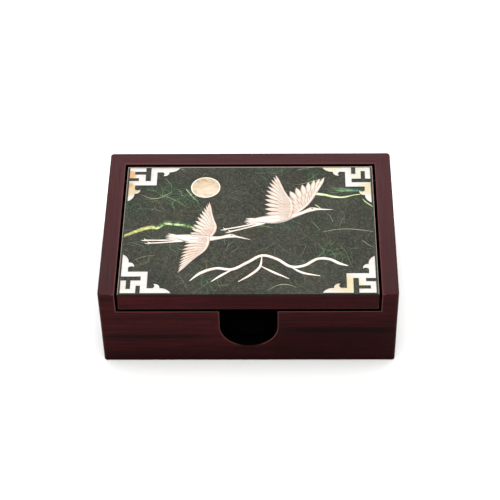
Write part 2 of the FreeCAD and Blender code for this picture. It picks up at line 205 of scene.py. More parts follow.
class Coats:
    """The nodes of a material, or of the light round the box, and the colour that the coats give so far."""

    def __init__(self, tree: bpy.types.NodeTree) -> None:
        """Start with the place of each point, whole and as its x, y and z.

        Args:
            tree: the node tree.
        """
        self.tree = tree
        self.colour: Wire = ""
        self.place = self.add("TexCoord", take="Object")
        self.spot = self.add("SeparateXYZ", (self.place,)).node.outputs

    def add(self, kind: str, inputs: dict[str | int, Wire] | Sequence[Wire] = (), take: str | int = 0,
            **settings: object) -> Socket:
        """Add a node with its settings and links.

        Args:
            kind: the node's type, such as "TexNoise".
            inputs: values, hex colours or other nodes' outputs, in the order of its inputs or by their name or place.
            take: name or place of the output that is wanted.
            settings: the node's own properties.

        Returns:
            The output.
        """
        node = self.tree.nodes.new("ShaderNode" + kind)
        for name, value in settings.items():
            setattr(node, name, value)
        for key, value in inputs.items() if isinstance(inputs, dict) else enumerate(inputs):
            if isinstance(value, Socket):
                self.tree.links.new(value, node.inputs[key])
            else:
                node.inputs[key].default_value = linear(value) if isinstance(value, str) else value
        return node.outputs[take]

    def lay(self, colour: Wire, *guides: Socket, span: Span = (0.0, 1.0, 0.0, 1.0)) -> None:
        """Lay a coat of colour over those so far.

        Args:
            colour: of the coat.
            guides: the patterns that it follows, and at each point the highest; without any there is no coat.
            span: how the pattern turns into how much the coat hides.
        """
        if guides:
            share = self.add("MapRange", (self.highest(*guides), *span))
            self.colour = self.add("Mix", {0: share, 6: self.colour, 7: colour}, 2, data_type="RGBA")

    def highest(self, *values: Socket) -> Socket:
        """Join values so that at each point the highest one holds."""
        return reduce(lambda one, other: self.add("Math", (one, other), operation="MAXIMUM"), values)

    def near(self, x: float, y: float, ragged: Socket, pull: float) -> Socket:
        """Distance in metres from a point of the paper, made uneven.

        Args:
            x: of the point, mm.
            y: of the point, mm.
            ragged: a noise.
            pull: how much the noise takes off, mm.

        Returns:
            The distance.
        """
        away = self.add("VectorMath", (self.place, on_paper(x, y)), "Value", operation="DISTANCE")
        return self.add("Math", (ragged, -pull * MM, away), operation="MULTIPLY_ADD")

    def within(self, blocks: Sequence[Block], fade: float) -> list[Socket]:
        """Masks of the faces within blocks of space.

        Args:
            blocks: the blocks.
            fade: how far inside a block's faces its mask is full, mm.

        Returns:
            One mask for each block.
        """
        masks = []
        for middle, half in blocks:
            away = self.add("VectorMath", (self.place, metres(*middle)), operation="SUBTRACT")
            away = self.add("VectorMath", (away,), operation="ABSOLUTE")
            away = self.add("VectorMath", (away, metres(*half)), operation="SUBTRACT")
            outermost = self.highest(*self.add("SeparateXYZ", (away,)).node.outputs)
            masks.append(self.add("MapRange", (outermost, 0.0, -fade * MM)))
        return masks


class Grain(Enum):
    """Which way the grain of a board runs."""

    ALONG_X = "X"
    ALONG_Y = "Y"

    def stretch(self, along: float, across: float) -> tuple[float, ...]:
        """Texture scales for a figure of that length and width in millimetres."""
        return tuple(per_metre(along if axis == self.value else across) for axis in "XYZ")


@dataclass(frozen=True)
class Finish:
    """A material in the making; each kind of finish paints it in its own way."""

    name: str

    def material(self) -> bpy.types.Material:
        """Make the material, once.

        Returns:
            The material.
        """
        made = bpy.data.materials.get(self.name)
        if made is None:
            made = bpy.data.materials.new(self.name)
            made.use_nodes = True
            tree = made.node_tree
            tree.nodes.clear()
            coats = Coats(tree)
            surface = self.paint(coats)
            shader = coats.add("BsdfPrincipled", {"Base Color": coats.colour, **surface})
            tree.links.new(shader, tree.nodes.new("ShaderNodeOutputMaterial").inputs["Surface"])
        return made

    def paint(self, coats: Coats) -> dict[str, Wire]:
        """Lay the finish's coats of colour.

        Args:
            coats: the nodes of the material.

        Returns:
            The shader's other inputs by name.
        """
        raise NotImplementedError


@dataclass(frozen=True)
class LacqueredWood(Finish):
    """Close-grained hardwood, dyed and sprayed with wine-brown satin lacquer.

    The eye gets short dark and red streaks along the grain under an even red film, a few long dark streaks from the
    heart of the tree, broad darker bands low down that are painted shade, a grey film of dust and painted sheen on the
    upward faces, darker towards the front as painted shade, redder edges where the lacquer was rubbed thin that are
    also painted highlights, and near-black painted shade inside the cavity, the notch and the groove under the lid.
    """

    grain: Grain = Grain.ALONG_X
    shift: float = 0.0  # how far along in the log the board was cut, in lengths of its figure
    layer_shift: float = 7.3  # the same from one of its patterns to the next
    wine: str = "#331416"
    flame: str = "#481619"
    streak: str = "#0e0606"
    deep: str = "#1c0202"
    # redder, paler edge colour: rubbed lacquer and painted highlights
    edge: str = "#694040"
    # grey film on the upward faces: dust and a painted sheen
    film_and_sheen: str = "#4b3233"
    shaded_film: str = "#3d2829"  # the grey film at the front, darker there as painted shade
    shaded_film_span: Pair = (-40.0, 20.0)  # mm along Y, from the most shaded to the least
    # near-black painted shade inside the cavity, the notch and the groove under the lid
    stain_and_shade: str = "#050303"
    speck: str = "#b09088"
    figure: Pair = (60.0, 3.2)  # length and width of the broad dark streaks, mm
    figure_span: Span = (0.46, 0.72, 0.0, 0.5)
    fleck: Pair = (18.0, 0.6)  # of the short streaks, red ones and dark ones
    flame_span: Span = (0.40, 0.62, 0.0, 0.9)
    fleck_span: Span = (0.48, 0.68, 0.0, 0.6)
    pores: Pair = (3.2, 0.2)  # of the pores, coarser than the real ones so that they show
    pore_span: Span = (0.58, 0.70, 0.0, 0.6)
    swirl: float = 0.15
    # Long streaks of this board, dark ones of heartwood and ones of deeper red, some broad ones being painted shade:
    # start and end along the grain, height and half width in mm, and strength
    dark_streaks: tuple[Band, ...] = ()
    deeper: tuple[Band, ...] = ()
    fade: float = 16.0  # mm over which such a streak ends
    sway: float = 1.6  # mm that it wanders
    shaded_blocks: tuple[Block, ...] = ()  # where the wood is painted near-black as shade
    shade_fade: float = 0.04  # mm
    worn_highlight_zones: tuple[Block, ...] = ()  # where the edges get the rubbed colour and painted highlights
    worn_highlight_fade: float = 1.5  # mm
    rounding: Pair = (0.995, 0.93)  # how squarely a face looks along an axis where the rubbed, highlighted colour begins and is full
    worn_highlight: float = 0.9
    upward_span: Span = (0.5, 0.95, 0.0, 0.9)  # from how far up a face looks to its grey film of dust and painted sheen
    patch_span: Span = (0.35, 0.65, 1.0, 0.6)  # from the red pattern to the share of it that stays
    speck_spacing: float = 7.0  # mm
    speck_radius: float = 0.16  # mm
    speck_strength: float = 0.8
    gloss: Span = (0.3, 0.7, 0.32, 0.42)  # from the red pattern to the roughness
    relief: float = 0.02  # mm

    def paint(self, coats: Coats) -> dict[str, Wire]:
        """Lay streaks, long dark streaks, painted shade, dust with painted sheen, worn edges with painted highlights
        and dust nibs under a satin film.
        """
        layers = []
        for size, detail in ((self.figure, 3.0), (self.fleck, 3.0), (self.fleck, 3.0), (self.pores, 1.0)):
            spread = coats.add("Mapping", {
                "Vector": coats.place, "Location": (self.shift + self.layer_shift * len(layers),) * 3,
                "Scale": self.grain.stretch(*size)})
            layers.append(coats.add("TexNoise", {
                "Vector": spread, "Scale": 1.0, "Detail": detail, "Distortion": self.swirl}))
        broad, red, dark, pores = layers
        coats.colour = self.wine
        coats.lay(self.flame, red, span=self.flame_span)
        # Broad bands of deeper red; where they lie low they are painted shade
        coats.lay(self.deep, *self.bands(coats, broad, self.deeper))
        streaks = [coats.add("MapRange", (layer, *span)) for layer, span in (
            (broad, self.figure_span), (dark, self.fleck_span), (pores, self.pore_span))]
        # Dark streaks, among them broad bands of painted shade at the foot
        coats.lay(self.streak, *streaks, *self.bands(coats, broad, self.dark_streaks))
        facing = coats.place.node.outputs["Normal"]  # in the board's own frame, so that it holds when the lid is open
        # Grey film on upward faces, partly dust and partly painted sheen, darker towards the front as painted shade
        upward = coats.add("MapRange", (coats.add("SeparateXYZ", (facing,), "Z"), *self.upward_span))
        patches = coats.add("MapRange", (red, *self.patch_span))
        depth = coats.add("MapRange", (coats.spot["Y"], *metres(*self.shaded_film_span)))
        dust = coats.add("Mix", {0: depth, 6: self.shaded_film, 7: self.film_and_sheen}, 2, data_type="RGBA")
        coats.lay(dust, coats.add("Math", (upward, patches), operation="MULTIPLY"))
        flat = coats.add("VectorMath", (facing,), operation="ABSOLUTE")
        square = coats.highest(*coats.add("SeparateXYZ", (flat,)).node.outputs)
        rounded = coats.add("MapRange", (square, *self.rounding, 0.0, self.worn_highlight))
        # Rounded edges within the zones: rubbed lacquer with painted highlights
        for worn_highlight_zones in coats.within(self.worn_highlight_zones, self.worn_highlight_fade):
            coats.lay(self.edge, coats.add("Math", (rounded, worn_highlight_zones), operation="MULTIPLY"))
        nibs = coats.add("TexVoronoi", {"Vector": coats.place, "Scale": per_metre(self.speck_spacing)}, "Distance")
        near = self.speck_radius / self.speck_spacing
        coats.lay(self.speck, nibs, span=(near, near / 2, 0.0, self.speck_strength))
        # Painted shade: the faces within these blocks turn near-black
        coats.lay(self.stain_and_shade, *coats.within(self.shaded_blocks, self.shade_fade))
        return {"Roughness": coats.add("MapRange", (red, *self.gloss)), "Specular IOR Level": 0.02,
                "Normal": coats.add("Bump", {"Height": dark, "Distance": self.relief * MM, "Strength": 0.5})}

    def bands(self, coats: Coats, drift: Socket, bands: Sequence[Band]) -> list[Socket]:
        """Masks of long streaks.

        Args:
            coats: the nodes of the material.
            drift: a slow noise that makes the streaks wander.
            bands: the streaks.

        Returns:
            One mask for each streak.
        """
        level = coats.add("Math", (drift, self.sway * MM, coats.spot["Z"]), operation="MULTIPLY_ADD")
        masks = []
        for start, end, middle, half, strength in bands:
            away = coats.add("Math", (level, (middle + self.sway / 2) * MM), operation="SUBTRACT")
            away = coats.add("Math", (away,), operation="ABSOLUTE")
            mask = coats.add("MapRange", (away, half * MM, 0.0, 0.0, strength), interpolation_type="SMOOTHSTEP")
            for stop, inside in ((start, start + self.fade), (end, end - self.fade)):
                run = coats.add("MapRange", (coats.spot[self.grain.value], stop * MM, inside * MM))
                mask = coats.add("Math", (run, mask), operation="MULTIPLY")
            masks.append(mask)
        return masks


@dataclass(frozen=True)
class MulberryPaper(Finish):
    """Handmade mulberry paper, dyed dark green and pressed on a board under a thin matt varnish.

    The eye gets a cloudy ground full of short pale hairs that lie every way, with green drifts, a paler cut edge at the
    sides and the rear that is partly a painted highlight, and a dark painted shadow along the front edge.
    """

    ground: str = "#232421"
    cloud: str = "#34352f"
    umber: str = "#2e2924"
    hair: str = "#6f6f5c"
    drift: str = "#2b4030"
    dyed_hair: str = "#4f7349"
    # paler cut edge at the sides and the rear, partly a painted highlight along the arris
    cut: str = "#b5a69b"
    # dark painted shadow along the paper's front edge
    lacquered: str = "#150808"
    cloud_size: float = 16.0  # mm
    cloud_span: Pair = (0.35, 0.65)
    felt_size: float = 0.42  # mm
    felt_span: Span = (0.3, 0.7, -0.7, 0.7)  # what it adds to the clouds
    hair_size: Pair = (2.3, 0.2)  # mm; the finest real hairs are thinner than the picture can show
    hair_span: Span = (0.62, 0.76, 0.0, 0.6)
    hair_ways: int = 8
    hair_bend: float = 0.7  # mm that a hair is pushed aside
    hair_wave: float = 2.5  # its lengths from one bend to the next
    drift_size: float = 13.0  # mm
    umber_span: Span = (0.50, 0.36, 0.0, 0.5)
    drift_span: Span = (0.54, 0.68, 0.0, 0.4)
    soak: float = 0.25  # how much of the dye the ground takes
    hair_soak: float = 1.2  # and how much the hairs take
    side_edge: float = 0.26  # mm of pale cut edge that shows at the sides
    rear_edge: float = 0.5  # mm, the same at the rear
    cut_strength: float = 0.8
    edge_shadow_span: Pair = (0.12, 0.03)  # mm from the front edge, where the painted shadow begins and where it is full
    relief: float = 0.03  # mm
    # Green hazes of dye
    hazes: tuple[Spot, ...] = (
        (-35.0, 15.6, 12.0, 0.5), (-21.5, 15.8, 10.0, 0.6), (26.1, 31.2, 9.0, 0.45), (6.5, 30.3, 7.0, 0.3),
        (28.5, -10.1, 10.0, 0.5), (34.6, -13.2, 9.0, 0.4), (17.9, -16.5, 6.0, 0.35), (-14.6, -27.9, 8.0, 0.5),
        (-29.4, 3.9, 8.0, 0.5), (-36.8, -11.2, 9.0, 0.3), (12.0, 4.0, 8.0, 0.35), (22.0, 17.0, 7.0, 0.35))
    haze_pull: float = 4.0  # how much a noise makes their edges uneven, in reaches
    haze_span: Pair = (-1.0, -2.2)  # where a haze begins and where it is full, in reaches

    def paint(self, coats: Coats) -> dict[str, Wire]:
        """Lay hairs and drifts on the cloudy ground."""
        clouds, felt, drifts = (coats.add("TexNoise", {
            "Vector": coats.place, "Scale": per_metre(size), "Detail": detail, "Distortion": swirl})
            for size, detail, swirl in (
                (self.cloud_size, 4.0, 0.0), (self.felt_size, 2.0, 0.0), (self.drift_size, 5.0, 0.8)))
        tone = coats.add("MapRange", (clouds, *self.cloud_span))
        speckle = coats.add("MapRange", (felt, *self.felt_span))
        coats.colour = self.ground
        coats.lay(self.cloud, coats.add("Math", (tone, speckle), operation="ADD"))
        coats.lay(self.umber, drifts, span=self.umber_span)
        dye = self.dye(coats, drifts)
        coats.lay(self.drift, dye, span=(0.0, 1.0, 0.0, self.soak))
        dyed = coats.add("Math", (dye, self.hair_soak, coats.add("MapRange", (drifts, *self.drift_span))),
                         operation="MULTIPLY_ADD", use_clamp=True)
        hairs = self.hairs(coats)
        coats.lay(coats.add("Mix", {0: dyed, 6: self.hair, 7: self.dyed_hair}, 2, data_type="RGBA"), hairs)
        low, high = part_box("paper_panel")
        side = coats.add("Math", (coats.spot["X"],), operation="ABSOLUTE")
        # Paler cut edge, partly a painted highlight
        for way, reach, width in ((side, high.x, self.side_edge), (coats.spot["Y"], high.y, self.rear_edge)):
            coats.lay(self.cut, way, span=(reach - width * MM, reach - width * MM / 3, 0.0, self.cut_strength))
        # Dark painted shadow along the front edge
        coats.lay(self.lacquered, coats.spot["Y"],
                  span=(*(low.y + edge for edge in metres(*self.edge_shadow_span)), 0.0, 1.0))
        height = coats.add("Math", (hairs, felt), operation="ADD")
        return {"Roughness": 0.55, "Specular IOR Level": 0.12,
                "Normal": coats.add("Bump", {"Height": height, "Distance": self.relief * MM, "Strength": 0.6})}

    def dye(self, coats: Coats, ragged: Socket) -> Socket:
        """Mask of the green hazes.

        Args:
            coats: the nodes of the material.
            ragged: a noise that makes their edges uneven.

        Returns:
            The mask.
        """
        return coats.highest(*(
            coats.add("MapRange", (coats.near(x, y, ragged, self.haze_pull * reach),
                                   *metres(*(edge * reach for edge in self.haze_span)), 0.0, strength),
                      interpolation_type="SMOOTHSTEP")
            for x, y, reach, strength in self.hazes))

    def hairs(self, coats: Coats) -> Socket:
        """Mask of the short hairs, as streaks of noise turned every way and bent by a slower noise.

        Args:
            coats: the nodes of the material.

        Returns:
            The mask.
        """
        length, width = self.hair_size
        sway = coats.add("TexNoise", {
            "Vector": coats.place, "Scale": per_metre(self.hair_wave * length), "Detail": 1.0}, "Color")
        push = coats.add("VectorMath", (sway, (0.5, 0.5, 0.5)), operation="SUBTRACT")
        bent = coats.add("VectorMath", (push, metres(2 * self.hair_bend) * 3, coats.place), operation="MULTIPLY_ADD")
        masks = []
        for way in range(self.hair_ways):
            turned = coats.add("VectorRotate", {"Vector": bent, "Angle": math.pi * way / self.hair_ways},
                               rotation_type="Z_AXIS")
            drawn = coats.add("Mapping", {"Vector": turned, "Location": (way, 0, way),
                                          "Scale": Grain.ALONG_Y.stretch(width, length)})
            streaks = coats.add("TexNoise", {"Vector": drawn, "Scale": 1.0, "Detail": 1.0})
            masks.append(coats.add("MapRange", (streaks, *self.hair_span)))
        return coats.highest(*masks)


@dataclass(frozen=True)
class BastFibre(Finish):
    """Long bast fibre left in the paper's pulp and dyed with it: a silky thread with paler and darker stretches."""

    pale: str = "#7f8a68"
    deep: str = "#3c5c3a"
    stretch: float = 1.3  # mm, length of the paler and darker stretches
    mottle: float = 2.0  # weight of these stretches beside each thread's own tone
    contrast: float = 0.6  # how far from the middle tone a thread is all pale or all deep
    straw: str = ""
    straw_span: Pair = (0.0, 0.0)  # mm, where along X the straw colour begins and where it is full
    straw_share: float = 0.75

    def paint(self, coats: Coats) -> dict[str, Wire]:
        """Give each thread its own tone, let it change along its way, and lay the straw colour at one end."""
        own = coats.add("NewGeometry", take="Random Per Island")
        wander = coats.add("TexNoise", {"Vector": coats.place, "Scale": per_metre(self.stretch)})
        tone = coats.add("Math", (wander, self.mottle, own), operation="MULTIPLY_ADD")
        middle = (self.mottle + 1) / 2
        coats.colour = self.pale
        coats.lay(self.deep, tone, span=(middle - self.contrast, middle + self.contrast, 0.0, 1.0))
        if self.straw:
            coats.lay(self.straw, coats.spot["X"], span=(*metres(*self.straw_span), 0.0, self.straw_share))
        return {"Roughness": 0.5, "Specular IOR Level": 0.2, "Sheen Weight": 0.1}


@dataclass(frozen=True)
class Shell(Finish):
    """Mother-of-pearl, sliced thin, cut to shape and polished under clear lacquer.

    The eye gets slow pale bands of the shell's growth, a soft pearly gloss, and the brown of the engraved outlines.
    """

    pale: str = "#f6f1ea"
    band: str = "#ecdccb"
    blush: str = "#e9c3ae"
    line: str = "#4c3429"
    band_size: Pair = (9.0, 1.6)  # length and width of the growth bands, mm
    band_turn: float = 25.0  # degrees
    band_span: Span = (0.4, 0.7, 0.0, 1.0)
    blush_size: float = 7.0  # mm
    blush_share: Pair = (0.55, 0.75)  # where in the noise the blush begins and is full
    line_depth: float = 0.9
    stains: tuple[tuple[Spot, str], ...] = ()  # with their colours
    polish: Span = (0.3, 0.7, 0.28, 0.4)  # from the bands' pattern to the roughness

    def paint(self, coats: Coats) -> dict[str, Wire]:
        """Lay growth bands, blush, stains and engraved lines under a clear coat."""
        drawn = coats.add("Mapping", {"Vector": coats.place, "Rotation": (0, 0, math.radians(self.band_turn)),
                                      "Scale": Grain.ALONG_X.stretch(*self.band_size)})
        bands = coats.add("TexNoise", {"Vector": drawn, "Scale": 1.0, "Detail": 3.0, "Distortion": 0.6})
        cloud = coats.add("TexNoise", {
            "Vector": coats.place, "Scale": per_metre(self.blush_size), "Detail": 3.0, "Distortion": 0.5})
        coats.colour = self.pale
        coats.lay(self.band, bands, span=self.band_span)
        coats.lay(self.blush, cloud, span=(*self.blush_share, 0.0, 1.0))
        for (x, y, reach, strength), stain_and_shade in self.stains:
            coats.lay(stain_and_shade, coats.near(x, y, cloud, reach), span=(reach / 2 * MM, 0.0, 0.0, strength))
        rim = coats.add("Attribute", take="Fac", attribute_name=RIM)
        coats.lay(self.line, rim, span=(0.0, 1.0, 0.0, self.line_depth))
        return {"Roughness": coats.add("MapRange", (bands, *self.polish)), "Coat Weight": 0.4, "Coat Roughness": 0.15}


@dataclass(frozen=True)
class Velvet(Finish):
    """Black cotton velvet on card: a deep pile that swallows light, with a faint bloom where it is brushed."""

    pile: str = "#050404"
    brushed: str = "#0c090a"
    patch_size: float = 9.0  # mm
    pile_size: float = 0.35  # mm
    pile_depth: float = 0.2  # mm

    def paint(self, coats: Coats) -> dict[str, Wire]:
        """Brush the pile one way in patches."""
        patches, tufts = (coats.add("TexNoise", {"Vector": coats.place, "Scale": per_metre(size)})
                          for size in (self.patch_size, self.pile_size))
        coats.colour = self.pile
        coats.lay(self.brushed, patches)
        return {"Normal": coats.add("Bump", {"Height": tufts, "Distance": self.pile_depth * MM}),
                "Roughness": 1.0, "Specular IOR Level": 0.0, "Sheen Weight": 0.08}


@dataclass(frozen=True)
class Felt(Finish):
    """Pressed wool felt: matt, with short tangled hairs and a slightly uneven dye."""

    dye: str = "#26201f"
    worn: str = "#3a3130"
    hair: float = 0.5  # mm
    hair_depth: float = 0.15  # mm
    cloud: float = 12.0  # mm
    worn_span: Span = (0.15, 0.4, 0.0, 1.0)

    def paint(self, coats: Coats) -> dict[str, Wire]:
        """Tangle the hairs and let the dye vary."""
        clouds = coats.add("TexNoise", {"Vector": coats.place, "Scale": per_metre(self.cloud)})
        hairs = coats.add("TexNoise", {
            "Vector": coats.place, "Scale": per_metre(self.hair), "Detail": 4.0, "Distortion": 2.0})
        coats.colour = self.dye
        coats.lay(self.worn, coats.add("Math", (clouds, hairs), operation="MULTIPLY"), span=self.worn_span)
        return {"Normal": coats.add("Bump", {"Height": hairs, "Distance": self.hair_depth * MM}),
                "Roughness": 0.95, "Sheen Weight": 0.3}


@dataclass(frozen=True)
class Plywood(Finish):
    """Thin birch plywood, sanded and left bare: pale, with fine lines of grain and dark glue lines in its edge."""

    wood: str = "#b48f63"
    line: str = "#8a6640"
    glue: str = "#4a3220"
    grain: Pair = (30.0, 0.8)  # mm
    line_span: Span = (0.35, 0.65, 0.0, 1.0)
    ply: float = 1.0  # mm
    glue_span: Pair = (0.1, 0.04)  # mm from a joint, where the glue line begins and where it is full
    glue_strength: float = 0.8

    def paint(self, coats: Coats) -> dict[str, Wire]:
        """Draw the grain on the faces and the plies in the edge."""
        drawn = coats.add("Mapping", {"Vector": coats.place, "Scale": Grain.ALONG_X.stretch(*self.grain)})
        coats.colour = self.wood
        coats.lay(self.line, coats.add("TexNoise", {"Vector": drawn, "Scale": 1.0, "Detail": 4.0}),
                  span=self.line_span)
        joint = coats.add("Math", (coats.spot["Z"], self.ply * MM), operation="PINGPONG")
        coats.lay(self.glue, joint, span=(*metres(*self.glue_span), 0.0, self.glue_strength))
        return {"Roughness": 0.7}


@dataclass(frozen=True)
class BlackenedSteel(Finish):
    """Drawn steel rod with a black oxide skin: nearly black, with fine marks along its length."""

    steel: str = "#0e0d0e"
    mark: str = "#1b191b"
    marks: Pair = (6.0, 0.08)  # mm
    polish: Span = (0.0, 1.0, 0.34, 0.5)  # from the marks' pattern to the roughness

    def paint(self, coats: Coats) -> dict[str, Wire]:
        """Draw the marks of the die along the rod."""
        drawn = coats.add("Mapping", {"Vector": coats.place, "Scale": Grain.ALONG_X.stretch(*self.marks)})
        marks = coats.add("TexNoise", {"Vector": drawn, "Scale": 1.0})
        coats.colour = self.steel
        coats.lay(self.mark, marks)
        return {"Metallic": 1.0, "Roughness": coats.add("MapRange", (marks, *self.polish))}


@dataclass(frozen=True)
class Pigment(Finish):
    """Dark pigment rubbed into an engraving: matt and nearly black; also the ring of painted shadow round the shell
    pieces.
    """

    tone: str = "#2b1d19"
    dust: str = "#45332c"
    grain: float = 0.2  # mm

    def paint(self, coats: Coats) -> dict[str, Wire]:
        """Let the powder's grain show."""
        coats.colour = self.tone
        coats.lay(self.dust, coats.add("TexNoise", {"Vector": coats.place, "Scale": per_metre(self.grain)}))
        return {"Roughness": 0.6}


@dataclass(frozen=True)
class SweepPaper(Finish):
    """Matt white background paper of a studio sweep, seen through from below so that the underside can be looked at."""

    white: str = "#fdfdfc"

    def paint(self, coats: Coats) -> dict[str, Wire]:
        """Keep it plain."""
        coats.colour = self.white
        rear = coats.add("NewGeometry", take="Backfacing")
        return {"Alpha": coats.add("Math", (1.0, rear), operation="SUBTRACT"),
                "Roughness": 1.0, "Specular IOR Level": 0.0}


# Raised shapes on the paper

class Section(Enum):
    """Cross sections of a raised strip, as (share of the half width, share of the height) from left to right."""

    DOME = ((-1, 0), (-1, 0.5), (-0.85, 0.74), (-0.5, 0.93), (0, 1), (0.5, 0.93), (0.85, 0.74), (1, 0.5), (1, 0))
    TABLE = ((-1, 0), (-1, 0.75), (-0.85, 0.9), (-0.5, 0.98), (0, 1), (0.5, 0.98), (0.85, 0.9), (1, 0.75), (1, 0))
    SHINGLE = ((-1, 0), (-1, 0.9), (-0.8, 1), (-0.3, 0.95), (0.1, 0.86), (0.6, 0.7), (0.85, 0.6), (1, 0.5), (1, 0))
    THREAD = ((-1, 0), (-0.6, 0.8), (0, 1), (0.6, 0.8), (1, 0))


class Relief:
    """One piece in the making: closed raised shapes, in millimetres from the middle and the face of the paper."""

    RIM_FROM = 0.6  # the share of the half width where the engraved outline begins
    END_HEIGHT = 0.45  # the share of its height that a strip would have where it ends in a point
    WIDENING = 1.6  # how soon it rises from there to its full height
    SHARP = math.radians(35)
    SHADOW_RING_WIDTH = 0.3  # mm of dark painted shadow that shows round a piece of shell
    SHADOW_RING_HEIGHT = 0.03
    # Near-black ring of painted shadow round the foot of each shell piece
    SHADOW_RING = Pigment("painted_shadow_ring", tone="#12100d", dust="#211c17")

    def __init__(self) -> None:
        """Start with no shape."""
        self.points: list[Vector] = []
        self.rims: list[float] = []
        self.faces: list[tuple[int, ...]] = []
        self.paints: list[int] = []

    def add_rings(self, rings: Sequence[Sequence[Vector]], rims: Sequence[Sequence[float]], paint: int) -> None:
        """Skin a row of closed rings and cap both ends.

        Args:
            rings: rings of equally many points.
            rims: for each point, how near it is to the engraved outline.
            paint: which of the piece's finishes the faces take.
        """
        first = len(self.points)
        count = len(rings[0])
        for ring, values in zip(rings, rims):
            self.points += ring
            self.rims += values
        faces = [tuple(range(first, first + count))]
        for start in range(first, first + (len(rings) - 1) * count, count):
            for i in range(count):
                j = (i + 1) % count
                faces.append((start + i, start + j, start + count + j, start + count + i))
        faces.append(tuple(range(len(self.points) - count, len(self.points))))
        self.faces += faces
        self.paints += [paint] * len(faces)

    def add_strip(self, line: Sequence[Stop], height: float, section: Section, shadow_ring: int = 0, paint: int = 0) -> None:
        """Add a raised strip along a centre line.

        Args:
            line: points of the centre line, each with half the strip's width.
            height: of the strip where it is widest.
            section: its cross section.
            shadow_ring: which of the piece's finishes the ring of painted shadow round it takes, or 0 for no ring.
            paint: which of them it takes itself.
        """
        widest = max(half for _, _, half in line)
        rings, rims = [], []
        for i, (x, y, half) in enumerate(line):
            x0, y0, _ = line[max(i - 1, 0)]
            x1, y1, _ = line[min(i + 1, len(line) - 1)]
            length = math.dist((x0, y0), (x1, y1))
            side = Vector((-(y1 - y0) / length, (x1 - x0) / length, 0))
            tall = height * (self.END_HEIGHT + (1 - self.END_HEIGHT) * min(1.0, self.WIDENING * half / widest))
            rings.append([Vector((x, y, share * tall)) - side * across * half for across, share in section.value])
            rims.append([max(0.0, (abs(across) - self.RIM_FROM) / (1 - self.RIM_FROM)) for across, _ in section.value])
        self.add_rings(rings, rims, paint)
        # A ring of painted shadow round the strip's foot
        if shadow_ring:
            wider = [(x, y, half + self.SHADOW_RING_WIDTH) for x, y, half in line]
            self.add_strip(wider, self.SHADOW_RING_HEIGHT, Section.THREAD, paint=shadow_ring)

    def add_plate(self, outline: Sequence[Pair], profile: Sequence[Pair], shadow_ring: int = 0, paint: int = 0) -> None:
        """Add a plate with a shaped edge.

        Args:
            outline: its outline, anticlockwise.
            profile: (inset, height) pairs from the foot of the edge to the flat top.
            shadow_ring: which of the piece's finishes the ring of painted shadow round it takes, or 0 for no ring.
            paint: which of them it takes itself.
        """
        offsets = []
        for before, here, after in zip([outline[-1], *outline], outline, [*outline[1:], outline[0]]):
            first = (Vector(here) - Vector(before)).normalized()
            second = (Vector(after) - Vector(here)).normalized()
            offsets.append(Vector((-first.y - second.y, first.x + second.x)) / (1 + first.dot(second)))
        rings = [[Vector((x + inset * move.x, y + inset * move.y, height))
                  for (x, y), move in zip(outline, offsets)] for inset, height in profile]
        self.add_rings(rings, [[float(inset == 0)] * len(outline) for inset, _ in profile], paint)
        # A ring of painted shadow round the plate's foot
        if shadow_ring:
            out, top = -self.SHADOW_RING_WIDTH, self.SHADOW_RING_HEIGHT
            self.add_plate(outline, ((out, 0), (out, top / 2), (out / 2, top)), paint=shadow_ring)

    def lay(self, name: str, slot: str, finishes: Sequence[Finish], *nodes: str) -> None:
        """Turn the shapes into one object on the paper that rides on the lid and stands for its solids.

        Args:
            name: the object's name.
            slot: the record's material slot of its finish; not used.
            finishes: one for each paint number in use.
            nodes: the solids that it replaces.
        """
        origin = on_paper()
        work = bmesh.new()
        layer = work.verts.layers.float.new(RIM)
        corners = [work.verts.new(origin + point * MM) for point in self.points]
        for corner, rim in zip(corners, self.rims):
            corner[layer] = rim
        for indices, paint in zip(self.faces, self.paints):
            face = work.faces.new([corners[i] for i in indices])
            face.material_index = paint
            face.smooth = True
        bmesh.ops.recalc_face_normals(work, faces=work.faces)
        bmesh.ops.triangulate(work, faces=[face for face in work.faces if len(face.verts) > 4])
        mesh = bpy.data.meshes.new(name)
        work.to_mesh(mesh)
        work.free()
        mesh.set_sharp_from_angle(angle=self.SHARP)
        for finish in finishes:
            mesh.materials.append(finish.material())
        piece = show(name, mesh)
        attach(piece, "lid")
        if nodes:
            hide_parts(*nodes)
        report(piece, "lid")


def report(piece: bpy.types.Object, body: str) -> None:
    """Log a piece, the body that it rides on and the number of its faces."""
    LOG.info("%s on %s, %d faces", piece.name, body, len(piece.data.polygons))


def dress(node: str, finish: Finish) -> None:
    """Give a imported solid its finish.

    Args:
        node: the solid's name.
        finish: the finish.
    """
    solid = frame["nodes"][node]
    solid.data.materials.clear()
    solid.data.materials.append(finish.material())
    report(solid, str(solid["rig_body"]))


# Sub-assemblies

